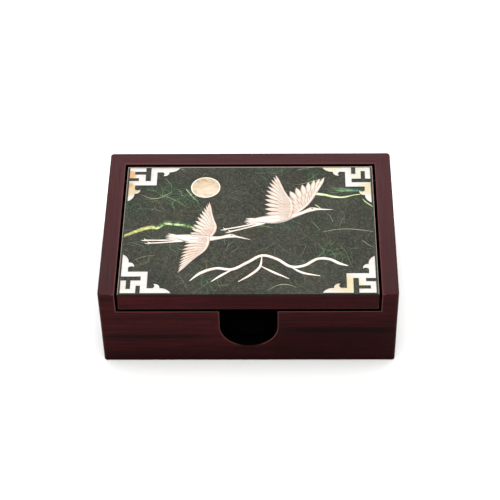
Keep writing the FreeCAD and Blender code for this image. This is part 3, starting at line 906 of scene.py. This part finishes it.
@dataclass
class Case:
    """The four mitred walls, the floor with its felt and lining, and the two hinge pins."""

    log_step: float = 3.7  # lengths of figure between one board's place in the log and the next one's
    boards: tuple[tuple[str, Grain], ...] = (
        ("front_wall", Grain.ALONG_X), ("rear_wall", Grain.ALONG_X),
        ("left_wall", Grain.ALONG_Y), ("right_wall", Grain.ALONG_Y))
    # Streaks of dark heartwood in the front: start, end, height, half width and strength
    front_streaks: tuple[Band, ...] = (
        (4.0, 66.0, 17.0, 3.2, 0.9), (-66.0, -6.0, 13.6, 3.0, 0.8), (-20.0, 26.0, 6.8, 1.8, 0.6),
        (-70.0, -40.0, 34.0, 2.2, 0.6), (36.0, 72.0, 21.5, 1.2, 0.5), (-60.0, 0.0, 17.0, 5.0, 0.3),
        (30.0, 90.0, 31.0, 7.0, 0.4))
    # Broad bands of deeper red in the front: the low one is painted shade at the foot, the other darkens the right side
    front_deeper: tuple[Band, ...] = ((-80.0, 80.0, -2.0, 18.0, 0.8), (-6.0, 96.0, 8.0, 26.0, 0.7))
    # Streaks of the other boards; the last, broad one is painted shade at the foot
    other_streaks: tuple[Band, ...] = (
        (-60.0, 14.0, 24.5, 1.6, 0.6), (-8.0, 60.0, 12.5, 1.9, 0.65), (-80.0, 80.0, -2.0, 20.0, 0.5))
    # Near-black painted shade: the cavity with the notch, from its foot to just under the rims, and the groove under
    # the lid
    shaded_blocks: tuple[Block, ...] = (
        ((0.0, -3.02, 19.95), (48.85, 34.87, 16.1)), ((0.0, -37.0, 27.95), (48.85, 0.93, 0.59)))
    # Rubbed, with painted highlights: the edges round the lid and the notch, but not the outer edges of the case
    worn_highlight_zones: tuple[Block, ...] = (((0.0, -2.0, 24.2), (50.5, 37.5, 16.0)),)

    def build(self) -> None:
        """Dress the case's solids."""
        for i, (node, grain) in enumerate(self.boards):
            front = node == "front_wall"
            dress(node, LacqueredWood(
                f"lacquered_{node}", grain, shift=i * self.log_step, shaded_blocks=self.shaded_blocks, worn_highlight_zones=self.worn_highlight_zones,
                dark_streaks=self.front_streaks if front else self.other_streaks,
                deeper=self.front_deeper if front else ()))
        dress("base_board", Plywood("birch_plywood"))
        dress("base_felt", Felt("wool_felt"))
        dress("floor_lining", Velvet("black_velvet"))
        for node in ("hinge_pin_left", "hinge_pin_right"):
            dress(node, BlackenedSteel("blackened_steel"))


@dataclass(frozen=True)
class Strand:
    """A fibre, or a bundle of fibres, in the pulp of the paper."""

    points: tuple[Pair, ...]
    fibres: int = 1
    spread: float = 0.0  # mm that its fibres stray from the middle line
    half_width: float = 0.07
    height: float = 0.03


@dataclass(frozen=True)
class Bundle:
    """Strands that share one dye and make one piece."""

    name: str
    finish: BastFibre
    strands: tuple[Strand, ...]


LEFT_WAY = ((-53.0, -6.4), (-47.0, -3.7), (-43.6, -2.0), (-39.9, -0.2), (-36.8, 0.7), (-34.6, 0.4), (-31.9, 2.4),
            (-28.7, 2.1), (-24.9, 1.5), (-21.0, 0.2), (-18.5, -0.9), (-12.0, -1.7))
MIDDLE_WAY = ((-6.0, -1.4), (-0.9, 0.1), (2.3, 1.2), (6.7, 0.9), (9.2, -0.1))
RIGHT_WAY = ((21.9, 14.9), (19.7, 15.5), (19.5, 17.2), (20.7, 18.6), (23.3, 18.8), (28.4, 18.1), (32.2, 17.0),
             (36.0, 16.7), (39.9, 17.8), (43.8, 18.5))
WISP_WAY = ((-24.7, 21.6), (-22.3, 17.8), (-19.0, 13.2))
REAR_WAY = ((-35.2, 18.8), (-30.6, 16.5), (-26.6, 13.7), (-24.0, 11.4))


@dataclass
class Lid:
    """The wooden lid and its sheet of fibrous paper."""

    seed: int = 7
    # the lid's lower edges get the rubbed colour as painted highlights
    board: LacqueredWood = LacqueredWood(
        "lacquered_lid_board", Grain.ALONG_X, shift=21.4, wine="#3b1719", worn_highlight=0.6,
        dark_streaks=((10.0, 60.0, 34.4, 1.2, 0.6), (-30.0, 30.0, 30.5, 1.0, 0.5), (-26.0, 90.0, 32.0, 12.0, 0.42)),
        worn_highlight_zones=(((0.0, 0.0, 29.0), (60.0, 60.0, 2.0)),))
    step: float = 0.6  # mm between the points of a fibre
    margin: float = 0.35  # mm that the fibres stay inside the paper's edge
    # A fibre of a bundle takes a part of the strand's way, width and height, and waves through so many radians
    part: Pair = (0.35, 0.9)
    wave: Pair = (2.0, 5.0)
    width_share: Pair = (0.6, 1.2)
    height_share: Pair = (0.7, 1.0)
    lead: float = 0.25  # how far it has already strayed at its start, as a share of its part
    thinnest: float = 0.15  # the share of its width at its ends
    bluntness: float = 0.4
    loose_fibres: int = 120
    loose_length: Pair = (1.5, 8.0)  # mm
    loose_parts: int = 4
    loose_turn: float = 0.34  # radians that a fibre turns from one point to the next, at most
    loose_half_width: Pair = (0.025, 0.05)
    loose_height: float = 0.03
    # Tangles of dyed fibres: middle and reach in mm, and how many
    tangles: tuple[tuple[float, float, float, int], ...] = (
        (-33.0, 16.5, 6.0, 26), (-24.0, 16.5, 5.0, 20), (29.0, -11.5, 4.5, 18), (35.0, -14.0, 4.0, 10),
        (-15.0, -28.0, 4.0, 12), (-36.0, -12.0, 5.0, 12), (-27.0, -8.0, 5.0, 10), (25.0, 30.0, 4.0, 8),
        (8.0, 29.5, 4.5, 8), (19.0, -17.0, 4.0, 8), (12.0, 3.0, 4.5, 8), (-8.0, -6.0, 6.0, 8))
    # Strands with their way, and mostly the number, spread, half width and height of their fibres
    bundles: tuple[Bundle, ...] = (
        Bundle("left_bundle", BastFibre("bast_fibre_straw_to_green", "#c8dc9e", "#3d6b2c", stretch=1.0, mottle=6.0,
                                        straw="#cdbe70", straw_span=(-33.0, -38.0), straw_share=0.55), (
            Strand(LEFT_WAY, 34, 0.38, 0.12, 0.06), Strand(LEFT_WAY, 16, 0.7, 0.05))),
        Bundle("right_bundle", BastFibre("bast_fibre_pale_green", "#f4f6d8", "#b4cd7c", stretch=1.6, mottle=4.0), (
            Strand(RIGHT_WAY, 26, 0.26, 0.2, 0.08),
            Strand(((42.8, 17.2), (44.4, 14.1), (47.4, 11.3)), 5, 0.1, 0.14),
            Strand(((24.8, 13.0), (27.9, 9.9)), 4, 0.08, 0.14))),
        Bundle("right_fringe", BastFibre("bast_fibre_green", "#7fa04c", "#4a7434"), (
            Strand(RIGHT_WAY, 12, 0.36, 0.06), Strand(MIDDLE_WAY, 9, 0.3, 0.1),
            Strand(((22.1, 25.5), (26.0, 29.3), (28.7, 32.6)), 3, 0.3, 0.05),
            Strand(((-15.9, -25.8), (-14.2, -29.1), (-12.8, -31.8)), 3, 0.12, 0.06),
            Strand(REAR_WAY, 3, 0.15))),
        Bundle("teal_patch", BastFibre("bast_fibre_teal", "#86a37e", "#3a6a4c", mottle=4.0, straw="#487f7a",
                                       straw_span=(38.0, 41.0)), (
            Strand(((32.5, 20.6), (37.4, 20.4), (43.4, 20.3)), 30, 0.5, 0.06),
            Strand(((29.0, 21.0), (34.4, 20.8), (43.4, 20.6)), 16, 0.7, 0.04))),
        Bundle("left_wisps", BastFibre("bast_fibre_mint", "#c3d6b4", "#4c7e56", mottle=4.0), (
            Strand(WISP_WAY, 7, 0.13, 0.07), Strand(WISP_WAY, 6, 0.6, 0.03),
            Strand(((-19.1, 19.2), (-21.0, 16.5), (-24.9, 12.5)), 4, 0.7, 0.03),
            Strand(((-27.0, 18.5), (-22.0, 17.2), (-17.5, 17.0)), 3, 0.8, 0.03))),
        Bundle("pale_threads", BastFibre("bast_fibre_grey", "#bfc1a2", "#8b9472"), (
            Strand(((-42.3, 18.8), (-38.3, 16.5), (-35.1, 16.5), (-32.0, 18.3), (-29.5, 20.2)), 6, 0.1),
            Strand(REAR_WAY, 3, 0.1, 0.05),
            Strand(((-22.7, 21.1), (-19.9, 24.3), (-16.7, 25.7), (-15.1, 24.8), (-16.7, 22.4), (-19.1, 19.2)),
                   half_width=0.06),
            Strand(((-33.0, 27.7), (-31.0, 24.8), (-29.6, 22.0)), 2, 0.1, 0.05),
            Strand(((16.9, 23.7), (20.1, 24.2), (25.3, 26.0), (29.9, 27.9)), 6, 0.12, 0.06),
            Strand(((28.8, 8.2), (30.6, 6.7), (32.0, 2.6)), 2, 0.05, 0.06),
            Strand(((27.4, -2.2), (31.8, -0.9), (36.8, -0.5), (41.8, -1.0), (47.1, -2.0)), 7, 0.09),
            Strand(((6.8, -32.1), (10.4, -29.6), (14.1, -29.0), (18.0, -30.7)), 6, 0.2, 0.05),
            Strand(((-16.0, -16.4), (-15.2, -21.5)), half_width=0.05),
            Strand(((23.7, 3.6), (26.9, -1.1)), half_width=0.05),
            Strand(((18.3, 32.0), (22.2, 33.1), (25.4, 33.5)), 2, 0.06),
            Strand(((-32.7, 33.5), (-29.4, 33.3), (-25.4, 32.5)), 2, 0.06),
            Strand(((42.3, -6.2), (44.7, -8.9), (47.1, -10.3)), 2, 0.06),
            Strand(((-42.7, -16.8), (-39.1, -14.8), (-34.8, -14.0)), half_width=0.05),
            Strand(((-6.9, -13.0), (-4.5, -10.9), (-3.3, -8.7)), half_width=0.05))))

    def build(self) -> None:
        """Dress the board and the paper, and lay the long fibres on the paper."""
        dress("lid_board", self.board)
        dress("paper_panel", MulberryPaper("mulberry_paper"))
        chance = random.Random(self.seed)
        for bundle in self.bundles:
            relief = Relief()
            for strand in bundle.strands:
                self.add_bundle(relief, strand, chance)
            relief.lay(f"fibre_{bundle.name}", "fibre_paper", [bundle.finish])
        reach = paper_reach()
        loose = Relief()
        for _ in range(self.loose_fibres):
            self.add_loose(loose, (chance.uniform(-reach.x, reach.x), chance.uniform(-reach.y, reach.y)), chance)
        loose.lay("fibre_loose", "fibre_paper", [BastFibre("bast_fibre_loose", "#8d8f77", "#506042")])
        dyed = Relief()
        for x, y, stray, count in self.tangles:
            for _ in range(count):
                self.add_loose(dyed, (x + chance.gauss(0, stray / 2), y + chance.gauss(0, stray / 2)), chance)
        dyed.lay("fibre_tangles", "fibre_paper", [BastFibre("bast_fibre_dyed", "#869f7c", "#40603f")])

    def add_bundle(self, relief: Relief, strand: Strand, chance: random.Random) -> None:
        """Lay the fibres of one strand, each a part of its way and a little astray.

        Args:
            relief: the piece that they belong to.
            strand: the way, number and size of the fibres.
            chance: the source of their disorder.
        """
        way = smooth_line(strand.points, self.step)
        for _ in range(strand.fibres):
            part = way
            if strand.fibres > 1:
                count = round(len(way) * chance.uniform(*self.part))
                first = chance.randint(0, len(way) - count)
                part = way[first:first + count]
            offset = chance.gauss(0, strand.spread)
            drift = chance.gauss(0, strand.spread)
            wave = chance.uniform(*self.wave)
            half = strand.half_width * chance.uniform(*self.width_share)
            line = []
            for i, (x, y) in enumerate(part):
                share = i / max(1, len(part) - 1)
                aside = offset * math.sin(math.pi * min(1.0, self.lead + share)) + drift * math.sin(wave * share) / 2
                thin = max(self.thinnest, math.sin(math.pi * share) ** self.bluntness)
                line.append((x, y + aside, half * thin))
            self.add_thread(relief, line, strand.height * chance.uniform(*self.height_share))

    def add_loose(self, relief: Relief, start: Pair, chance: random.Random) -> None:
        """Lay one thin fibre that wanders over the paper.

        Args:
            relief: the piece that it belongs to.
            start: where it begins.
            chance: the source of its way.
        """
        heading = chance.uniform(0, math.tau)
        pace = chance.uniform(*self.loose_length) / self.loose_parts
        bias = chance.uniform(-self.loose_turn, self.loose_turn)
        points = [start]
        for _ in range(self.loose_parts):
            heading += bias + chance.uniform(-self.loose_turn, self.loose_turn) / 2
            points.append(on_circle(points[-1], pace, heading))
        half = chance.uniform(*self.loose_half_width)
        self.add_thread(relief, [(x, y, half) for x, y in smooth_line(points, self.step)], self.loose_height)

    def add_thread(self, relief: Relief, line: Sequence[Stop], height: float) -> None:
        """Add the longest run of a thread that stays on the paper.

        Args:
            relief: the piece that it belongs to.
            line: its centre line.
            height: its height.
        """
        reach = paper_reach()
        run: list[Stop] = []
        best: list[Stop] = []
        for stop in line:
            inside = abs(stop[0]) < reach.x - self.margin and abs(stop[1]) < reach.y - self.margin
            run = [*run, stop] if inside else []
            best = max(best, run, key=len)
        if len(best) > 2:
            relief.add_strip(best, height, Section.THREAD)


class Corner(Enum):
    """The corners of the paper, as the quarter turns of the fret and the signs of x and y."""

    REAR_LEFT = (0, -1, 1)
    FRONT_LEFT = (1, -1, -1)
    FRONT_RIGHT = (2, 1, -1)
    REAR_RIGHT = (3, 1, 1)


@dataclass
class CornerFrets:
    """One key fret with cloud tips in each corner of the paper, in millimetres."""

    margin: float = 0.9  # from the paper's sides and rear
    front_margin: float = 0.5
    bar: float = 2.05
    column: float = 2.65
    rail: float = 2.45
    slot: float = 1.6
    wide_slot: float = 2.0  # between the column and the outer post
    arm: float = 2.4
    arm_length: float = 8.8
    hook_start: float = 2.1
    hook_rise: float = 2.1
    hook_length: float = 2.6
    edge: tuple[Pair, ...] = ((0, 0), (0, 0.22), (0.05, 0.28), (0.12, 0.3))
    arc_step: float = 0.3
    finish: Shell = Shell("white_pearl", pale="#d0cecb", band="#c7c2ba", blush="#c9c0b0", stains=(
        ((-46.4, 28.9, 3.0, 0.9), "#c08838"), ((-46.0, 20.4, 4.6, 0.8), "#bfa673"),
        ((-46.3, 23.7, 1.8, 0.7), "#ba8a48"), ((36.5, -29.1, 6.5, 0.8), "#c6b47e"),
        ((31.0, -29.6, 4.5, 0.5), "#c9b394"), ((42.0, -21.6, 3.0, 0.2), "#c6bd98"),
        ((31.5, 34.4, 6.0, 0.8), "#c5c29c"), ((42.0, 30.9, 4.5, 0.6), "#c6c2a8"),
        ((46.0, 21.4, 5.0, 0.85), "#cbba92")))

    def build(self) -> None:
        """Lay the four frets."""
        reach = paper_reach()
        for corner in Corner:
            quarters, side, end = corner.value
            turn = Matrix.Rotation(math.pi / 2 * quarters, 2)
            margin = self.margin if end > 0 else self.front_margin
            at = Vector((side * (reach.x - self.margin), end * (reach.y - margin)))
            relief = Relief()
            relief.add_plate([tuple(turn @ Vector(point) + at) for point in self.outline()], self.edge, shadow_ring=1)
            name = corner.name.lower()
            relief.lay(f"pearl_fret_{name}", "white_shell", [self.finish, relief.SHADOW_RING], f"corner_fret_{name}")

    def outline(self) -> list[Pair]:
        """Draw the fret with its corner at the origin, one arm along +x and one along -y.

        Returns:
            Its outline, anticlockwise.
        """
        column = self.bar + self.slot
        column_end = column + self.column
        post = column_end + self.wide_slot
        width = post + self.rail
        tongue_end = column + self.bar
        sill = tongue_end + self.slot
        height = sill + self.rail
        key = [(post, 0), (post, sill), (column_end, sill), (column_end, column), (self.bar, column),
               (self.bar, self.bar), (column_end, self.bar), (column_end, 0), (0, 0), (0, tongue_end),
               (column, tongue_end), (column, sill), (0, sill)]
        down = [(y, x) for x, y in self.cloud(height)]
        line = [*key, *down, (self.arm, height), (width, height), (width, self.arm), *self.cloud(width)[::-1]]
        return [(x, -y) for x, y in line]

    def cloud(self, block_end: float) -> list[Pair]:
        """Cloud of an arm that runs along +x, from its tip back to the plain arm.

        Args:
            block_end: how far the key block reaches along the arm.

        Returns:
            Points from the tip to the root of the hook.
        """
        hook_start = block_end + self.hook_start
        hook_end = hook_start + self.hook_length
        hook_top = self.arm + self.hook_rise
        arm_end = block_end + self.arm_length
        tip = (arm_end, 0)
        brow = ((hook_end + arm_end) / 2 + self.arm / 6, self.arm * 3 / 4)
        foot = (hook_end, self.arm)
        back = (hook_end - self.hook_length / 4, hook_top - self.hook_rise / 5)
        peak = (hook_start + self.hook_length / 12, hook_top)
        belly = (hook_start + self.hook_length / 4, (self.arm + hook_top) / 2)
        root = (hook_start, self.arm)
        arcs = ((tip, brow, foot), (foot, back, peak), (peak, belly, root))
        return [*(point for arc in arcs for point in arc_line(*arc, self.arc_step)), root]


@dataclass
class Moon:
    """The round shell disc, with a fine ring engraved near its edge."""

    place: Pair = (-17.0, 22.1)
    radius: float = 5.7
    sides: int = 96
    edge: tuple[Pair, ...] = ((0, 0), (0, 0.2), (0.1, 0.28), (0.5, 0.29), (0.58, 0.24), (0.68, 0.29), (5.2, 0.3))
    border: int = 3  # steps of the edge that keep the shell's pale skin
    finish: Shell = Shell("moon_pearl", pale="#cebca2", band="#c1aa8c", blush="#b9997a", blush_size=3.0,
                          band_size=(4.0, 2.0), blush_share=(0.5, 0.62))
    skin: Shell = Shell("moon_skin", pale="#f0e4d2", band="#e9d9c3", blush="#e4d0b6", line="#b58f70", line_depth=0.4)

    def build(self) -> None:
        """Lay the disc."""
        relief = Relief()
        outline = [on_circle(self.place, self.radius, math.tau * i / self.sides) for i in range(self.sides)]
        relief.add_plate(outline, self.edge, shadow_ring=2)
        skinned = 1 + self.border * self.sides
        relief.paints[:skinned] = [1] * skinned
        relief.lay("pearl_moon", "pink_shell", [self.finish, self.skin, relief.SHADOW_RING], "moon_disc")


@dataclass(frozen=True)
class Wing:
    """Fan of feathers along a curved leading edge, in its bird's own frame."""

    edge: tuple[Pair, Pair, Pair]  # shoulder, bend and wrist of the leading edge
    feathers: int
    angles: Pair  # direction of the first and of the last feather, in degrees
    lengths: Triple  # of the first, a middle and the last feather
    heights: Quad  # of the flight feathers, two rows of coverts and the leading edge
    NEAR = (0.25, 0.275, 0.29, 0.3)  # such heights of a wing above the body
    FAR = (0.12, 0.14, 0.155, 0.165)  # and of one below it
    SPREAD = 0.9
    ROWS = (1.0, 0.56, 0.31)  # how far along the flight feathers each row reaches
    FEATHER_STEPS = 16
    TAPER = 0.68  # the share of a feather where it begins to narrow
    TAPER_POWER = 1.7
    TIP_HALF_WIDTH = 0.03
    OVERLAP = 0.52
    BAND_STEPS = 20
    BAND_HALF_WIDTHS = (0.75, 0.6, 0.35)

    @staticmethod
    def blended(values: Sequence[float], t: float) -> float:
        """Pass smoothly from the first value past the second to the third."""
        return values[0] * (1 - t) ** 2 + values[1] * 2 * t * (1 - t) + values[2] * t ** 2

    def root(self, t: float) -> Pair:
        """Point of the leading edge, from 0 at the shoulder to 1 at the wrist."""
        return (self.blended([x for x, _ in self.edge], t), self.blended([y for _, y in self.edge], t))

    def along(self, t: float, share: float) -> Pair:
        """Point at a share of the length of the feather that grows at t."""
        angle = math.radians(self.angles[0] + (self.angles[1] - self.angles[0]) * t ** self.SPREAD)
        return on_circle(self.root(t), share * self.blended(self.lengths, t), angle)

    def feather(self, t: float, reach: float) -> list[Stop]:
        """Centre line and half widths of one feather.

        Args:
            t: where on the leading edge it grows.
            reach: its length as a share of the flight feather's.

        Returns:
            Points from its root to its tip.
        """
        step = 1 / (self.feathers - 1)
        low = max(0.0, t - step / 2)
        high = min(1.0, t + step / 2)
        line = []
        for part in (i / self.FEATHER_STEPS for i in range(self.FEATHER_STEPS + 1)):
            share = part * reach
            apart = math.dist(self.along(low, share), self.along(high, share)) * step / (high - low)
            tip = max(0.0, (part - self.TAPER) / (1 - self.TAPER))
            half = max(self.TIP_HALF_WIDTH, self.OVERLAP * apart * (1 - tip ** self.TAPER_POWER))
            line.append((*self.along(t, share), half))
        return line

    def rows(self) -> list[tuple[list[Stop], float]]:
        """Draw every feather and the leading edge.

        Returns:
            Each centre line with its height, from the longest row to the leading edge.
        """
        made = []
        last = self.feathers - 1
        for row, (reach, height) in enumerate(zip(self.ROWS, self.heights)):
            for i in range(self.feathers if row == 0 else last):
                t = i / last if row != 1 else (i + 0.5) / last
                made.append((self.feather(t, reach), height))
        shares = [i / self.BAND_STEPS for i in range(self.BAND_STEPS + 1)]
        made.append(([(*self.root(t), self.blended(self.BAND_HALF_WIDTHS, t)) for t in shares], self.heights[3]))
        return made


@dataclass
class Crane:
    """Flying crane of shell, drawn in its own frame with its beak towards +x."""

    name: str
    place: Pair
    size: float
    turn: float
    near_wing: Wing
    far_wing: Wing
    # Centre line from the beak to the rump, with half the width
    trunk: tuple[Stop, ...] = (
        (21.0, 1.3, 0.08), (18.0, 1.9, 0.32), (15.6, 2.4, 0.52), (14.5, 2.6, 0.90), (13.1, 2.6, 1.15),
        (11.7, 2.2, 0.95), (9.8, 1.5, 0.80), (7.6, 0.9, 1.00), (5.4, 0.5, 1.50), (2.8, 0.1, 2.20),
        (-0.4, -0.1, 2.45), (-4.0, 0.1, 1.95), (-7.0, 0.5, 1.15), (-9.0, 0.8, 0.35))
    body_height: float = 0.24
    tail_root: Pair = (-5.4, 0.3)
    tail_feathers: int = 5
    tail_angles: Pair = (164.0, 9.0)  # of the first feather, and the step to the next
    tail_length: float = 6.4
    tail_shorter: float = 0.3
    tail_half_widths: Triple = (0.70, 0.62, 0.08)
    tail_heights: Pair = (0.14, 0.012)  # of the first feather, and the step to the next
    shins: tuple[tuple[Pair, ...], ...] = (
        ((-4.6, -0.9), (-9.0, -1.4), (-13.8, -2.0), (-18.2, -2.3)),
        ((-4.6, -1.4), (-9.0, -2.4), (-13.8, -3.3), (-16.6, -3.7)))
    shin_half_widths: Quad = (0.62, 0.40, 0.36, 0.32)
    toes: tuple[tuple[Pair, ...], ...] = (
        ((0.0, 0.0), (-1.3, -0.35), (-2.6, -0.2)), ((0.0, 0.0), (-1.0, 0.1), (-1.5, 0.9)))
    toe_half_widths: Triple = (0.32, 0.28, 0.09)
    leg_height: float = 0.15
    eye: Pair = (13.6, 2.9)
    eye_radius: float = 0.3
    eye_sides: int = 12
    eye_edge: tuple[Pair, ...] = ((0, 0.1), (0, 0.25), (0.08, 0.27))
    steps: Triple = (0.5, 0.6, 0.3)  # between the points of the trunk and the tail, of a shin and of a toe
    body_finish: Shell = Shell("body_pearl", pale="#e9e0d6", band="#decfc0", blush="#d8bba8")
    wing_finish: Shell = Shell("wing_pearl", pale="#dfcfc0", band="#d6bda9", blush="#d2a893")

    def put(self, line: Sequence[Sequence[float]]) -> list[tuple[float, ...]]:
        """Place points of the bird's own frame, and their half widths, on the paper."""
        cosine, sine = on_circle((0.0, 0.0), self.size, math.radians(self.turn))
        return [(self.place[0] + x * cosine - y * sine, self.place[1] + x * sine + y * cosine,
                 *(half * self.size for half in rest)) for x, y, *rest in line]

    def build(self) -> None:
        """Lay the far wing, the body and the near wing."""
        self.lay_wing(self.far_wing, "far")
        relief = Relief()
        for line, height in self.tail():
            relief.add_strip(self.put(line), height, Section.SHINGLE, shadow_ring=2)
        for line in self.legs():
            relief.add_strip(self.put(line), self.leg_height, Section.DOME, shadow_ring=2)
        relief.add_strip(self.put(smooth_line(self.trunk, self.steps[0])), self.body_height, Section.TABLE, shadow_ring=2)
        dot = [on_circle(self.eye, self.eye_radius, math.tau * i / self.eye_sides) for i in range(self.eye_sides)]
        relief.add_plate(self.put(dot), self.eye_edge, paint=1)
        relief.lay(f"pearl_crane_{self.name}_body", "pink_shell",
                   [self.body_finish, Pigment("engraving_pigment"), relief.SHADOW_RING], f"crane_{self.name}_body")
        self.lay_wing(self.near_wing, "near")

    def lay_wing(self, wing: Wing, side: str) -> None:
        """Lay one wing with its feathers, of which the flight feathers and the leading edge get a ring of painted
        shadow.

        Args:
            wing: the wing.
            side: near or far.
        """
        relief = Relief()
        for line, height in wing.rows():
            section = Section.TABLE if height == wing.heights[3] else Section.SHINGLE
            relief.add_strip(self.put(line), height, section, shadow_ring=int(height in (wing.heights[0], wing.heights[3])))
        node = f"crane_{self.name}_{side}_wing"
        relief.lay(f"pearl_{node}", "pink_shell", [self.wing_finish, relief.SHADOW_RING], node)

    def tail(self) -> list[tuple[list[Stop], float]]:
        """Draw the fan of short feathers behind the rump.

        Returns:
            Each centre line with its height.
        """
        made = []
        for i in range(self.tail_feathers):
            angle = math.radians(self.tail_angles[0] + i * self.tail_angles[1])
            length = self.tail_length - self.tail_shorter * abs(i - self.tail_feathers // 2)
            points = [on_circle(self.tail_root, share * length, angle) for share in (0, 0.5, 1)]
            made.append((with_widths(points, self.tail_half_widths, self.steps[0]),
                         self.tail_heights[0] + self.tail_heights[1] * i))
        return made

    def legs(self) -> list[list[Stop]]:
        """Draw two trailing legs, each with a long toe and a raised one.

        Returns:
            Their centre lines.
        """
        lines = []
        for shin in self.shins:
            lines.append(with_widths(shin, self.shin_half_widths, self.steps[1]))
            for toe in self.toes:
                points = [(shin[-1][0] + x, shin[-1][1] + y) for x, y in toe]
                lines.append(with_widths(points, self.toe_half_widths, self.steps[2]))
        return lines


@dataclass
class Ridges:
    """The mountain lines: one long crest and four short lines that run down from it."""

    width: float = 1.25
    spur_width: float = 1.0
    tip_width: float = 0.3
    height: float = 0.3
    spur_drop: float = 0.03  # that a short line is lower
    step: float = 0.4
    finish: Shell = Shell("ridge_pearl", pale="#f6ece0", band="#ecdac6", blush="#e0c3aa", line="#8a6b58",
                          line_depth=0.6)
    lines: dict[str, tuple[Pair, ...]] = field(default_factory=lambda: {
        "crest": ((-21.5, -27.3), (-17.5, -23.3), (-12.0, -21.0), (-6.0, -21.5), (-0.5, -18.1), (5.0, -14.5),
                  (10.5, -16.3), (15.5, -20.1), (20.5, -19.7), (25.5, -16.3), (30.0, -16.4), (33.6, -18.6),
                  (36.8, -19.8)),
        "left_spur": ((-13.6, -27.7), (-9.6, -24.3), (-5.6, -21.5)),
        "middle_spur": ((-3.6, -27.7), (0.8, -24.3), (4.2, -20.3), (5.0, -14.7)),
        "middle_foot": ((4.3, -19.7), (9.4, -23.1), (15.0, -26.3)),
        "right_spur": ((15.4, -20.1), (20.0, -23.3), (26.5, -24.9)),
    })

    def build(self) -> None:
        """Lay each line as its own strip of shell."""
        for name, points in self.lines.items():
            width, drop = (self.width, 0.0) if name == "crest" else (self.spur_width, self.spur_drop)
            halves = [self.tip_width / 2, *[width / 2] * (len(points) - 2), self.tip_width / 2]
            relief = Relief()
            relief.add_strip(with_widths(points, halves, self.step), self.height - drop, Section.DOME, shadow_ring=1)
            relief.lay(f"pearl_ridge_{name}", "pink_shell", [self.finish, relief.SHADOW_RING], f"ridge_{name}")


@dataclass
class Studio:
    """A white sweep, soft light from above and the camera at the photograph's angle."""

    floor_half: float = 3.0
    nap: float = 0.05  # mm that the felt's nap keeps the box off the floor
    overlap: float = 0.5  # mm that the floor reaches in under the box
    horizon: float = 0.34  # how bright the tent of light is at its foot
    zenith: float = 4.3  # and how much brighter at its top
    gather: float = 6.0  # how closely the light gathers round the top
    softbox_place: Triple = (0.0, 0.7, 1.1)
    softbox_side: float = 0.8
    softbox_power: float = 3.0
    eye: Triple = (0.01195, -0.44982, 0.48420)
    yaw: float = 1.509
    pitch: float = 45.851
    roll: float = -1.219
    lens: float = 120.5
    sensor: float = 36.0

    def build(self) -> None:
        """Set up the floor, the lights and the camera."""
        bpy.context.scene.view_settings.view_transform = "Standard"
        self.lay_floor()
        self.hang_tent()
        lamp = bpy.data.lights.new("back_softbox", "AREA")
        lamp.size = self.softbox_side
        lamp.energy = self.softbox_power
        softbox = show("back_softbox", lamp)
        softbox.location = self.softbox_place
        softbox.rotation_euler = (-softbox.location).to_track_quat("-Z", "Y").to_euler()
        self.set_camera()

    def hang_tent(self) -> None:
        """Hang a tent of white cloth round the floor, lit from above."""
        world = bpy.data.worlds.new("light_tent")
        world.use_nodes = True
        tent = Coats(world.node_tree)
        height = tent.add("SeparateXYZ", (tent.place.node.outputs["Generated"],), "Z")
        rise = tent.add("Math", (height, 0.0), operation="MAXIMUM")
        glow = tent.add("Math", (rise, self.gather), operation="POWER")
        level = tent.add("Math", (glow, self.zenith, self.horizon), operation="MULTIPLY_ADD")
        cloth = world.node_tree.nodes["Background"]
        cloth.inputs["Color"].default_value = (1, 1, 1, 1)
        world.node_tree.links.new(level, cloth.inputs["Strength"])
        bpy.context.scene.world = world

    def lay_floor(self) -> None:
        """Lay the sweep round the foot of the box, open under it so that light reaches the underside from below."""
        work = bmesh.new()
        foot = (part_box("front_wall")[1].x - self.overlap * MM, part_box("rear_wall")[1].y - self.overlap * MM)
        outer, inner = [], []
        for ring, (x, y) in ((outer, (self.floor_half, self.floor_half)), (inner, foot)):
            for corner in ((-x, -y), (x, -y), (x, y), (-x, y)):
                ring.append(work.verts.new((*corner, -self.nap * MM)))
        for i in range(4):
            work.faces.new((outer[i - 1], outer[i], inner[i], inner[i - 1]))
        mesh = bpy.data.meshes.new("sweep")
        work.to_mesh(mesh)
        work.free()
        mesh.materials.append(SweepPaper("sweep_paper").material())
        show("sweep", mesh)

    def set_camera(self) -> None:
        """Stand the camera where the photograph was taken."""
        data = bpy.data.cameras.new("camera")
        data.lens = self.lens
        data.sensor_width = self.sensor
        camera = show("camera", data)
        yaw, pitch, roll = (Matrix.Rotation(math.radians(angle), 4, axis) for angle, axis in (
            (self.yaw, "Z"), (90 - self.pitch, "X"), (self.roll, "Z")))
        camera.matrix_world = Matrix.Translation(self.eye) @ yaw @ pitch @ roll
        bpy.context.scene.camera = camera


def main() -> None:
    """Build every sub-assembly in order."""
    logging.basicConfig(level=logging.INFO, format="%(message)s")
    high = Crane("high", (10.4, 5.0), 1.05, 9.0,
                 Wing(((4.4, -0.4), (8.2, 6.6), (5.2, 11.4)), 13, (190, 100), (7.6, 12.4, 11.5), Wing.NEAR),
                 Wing(((6.2, 1.4), (12.6, 4.6), (15.2, 9.6)), 10, (136, 58), (8.6, 11.4, 10.5), Wing.FAR))
    low = Crane("low", (-20.0, -5.6), 0.98, -5.0,
                Wing(((4.6, 1.4), (6.0, -5.6), (1.0, -9.4)), 13, (178, 238), (7.6, 11.6, 10.6), Wing.NEAR),
                Wing(((5.0, 1.2), (8.6, 6.4), (5.4, 10.4)), 11, (166, 104), (7.6, 11.4, 10.4), Wing.FAR))
    for part in (Case(), Lid(), CornerFrets(), Moon(), high, low, Ridges(), Studio()):
        part.build()


if __name__ == "__main__":
    main()
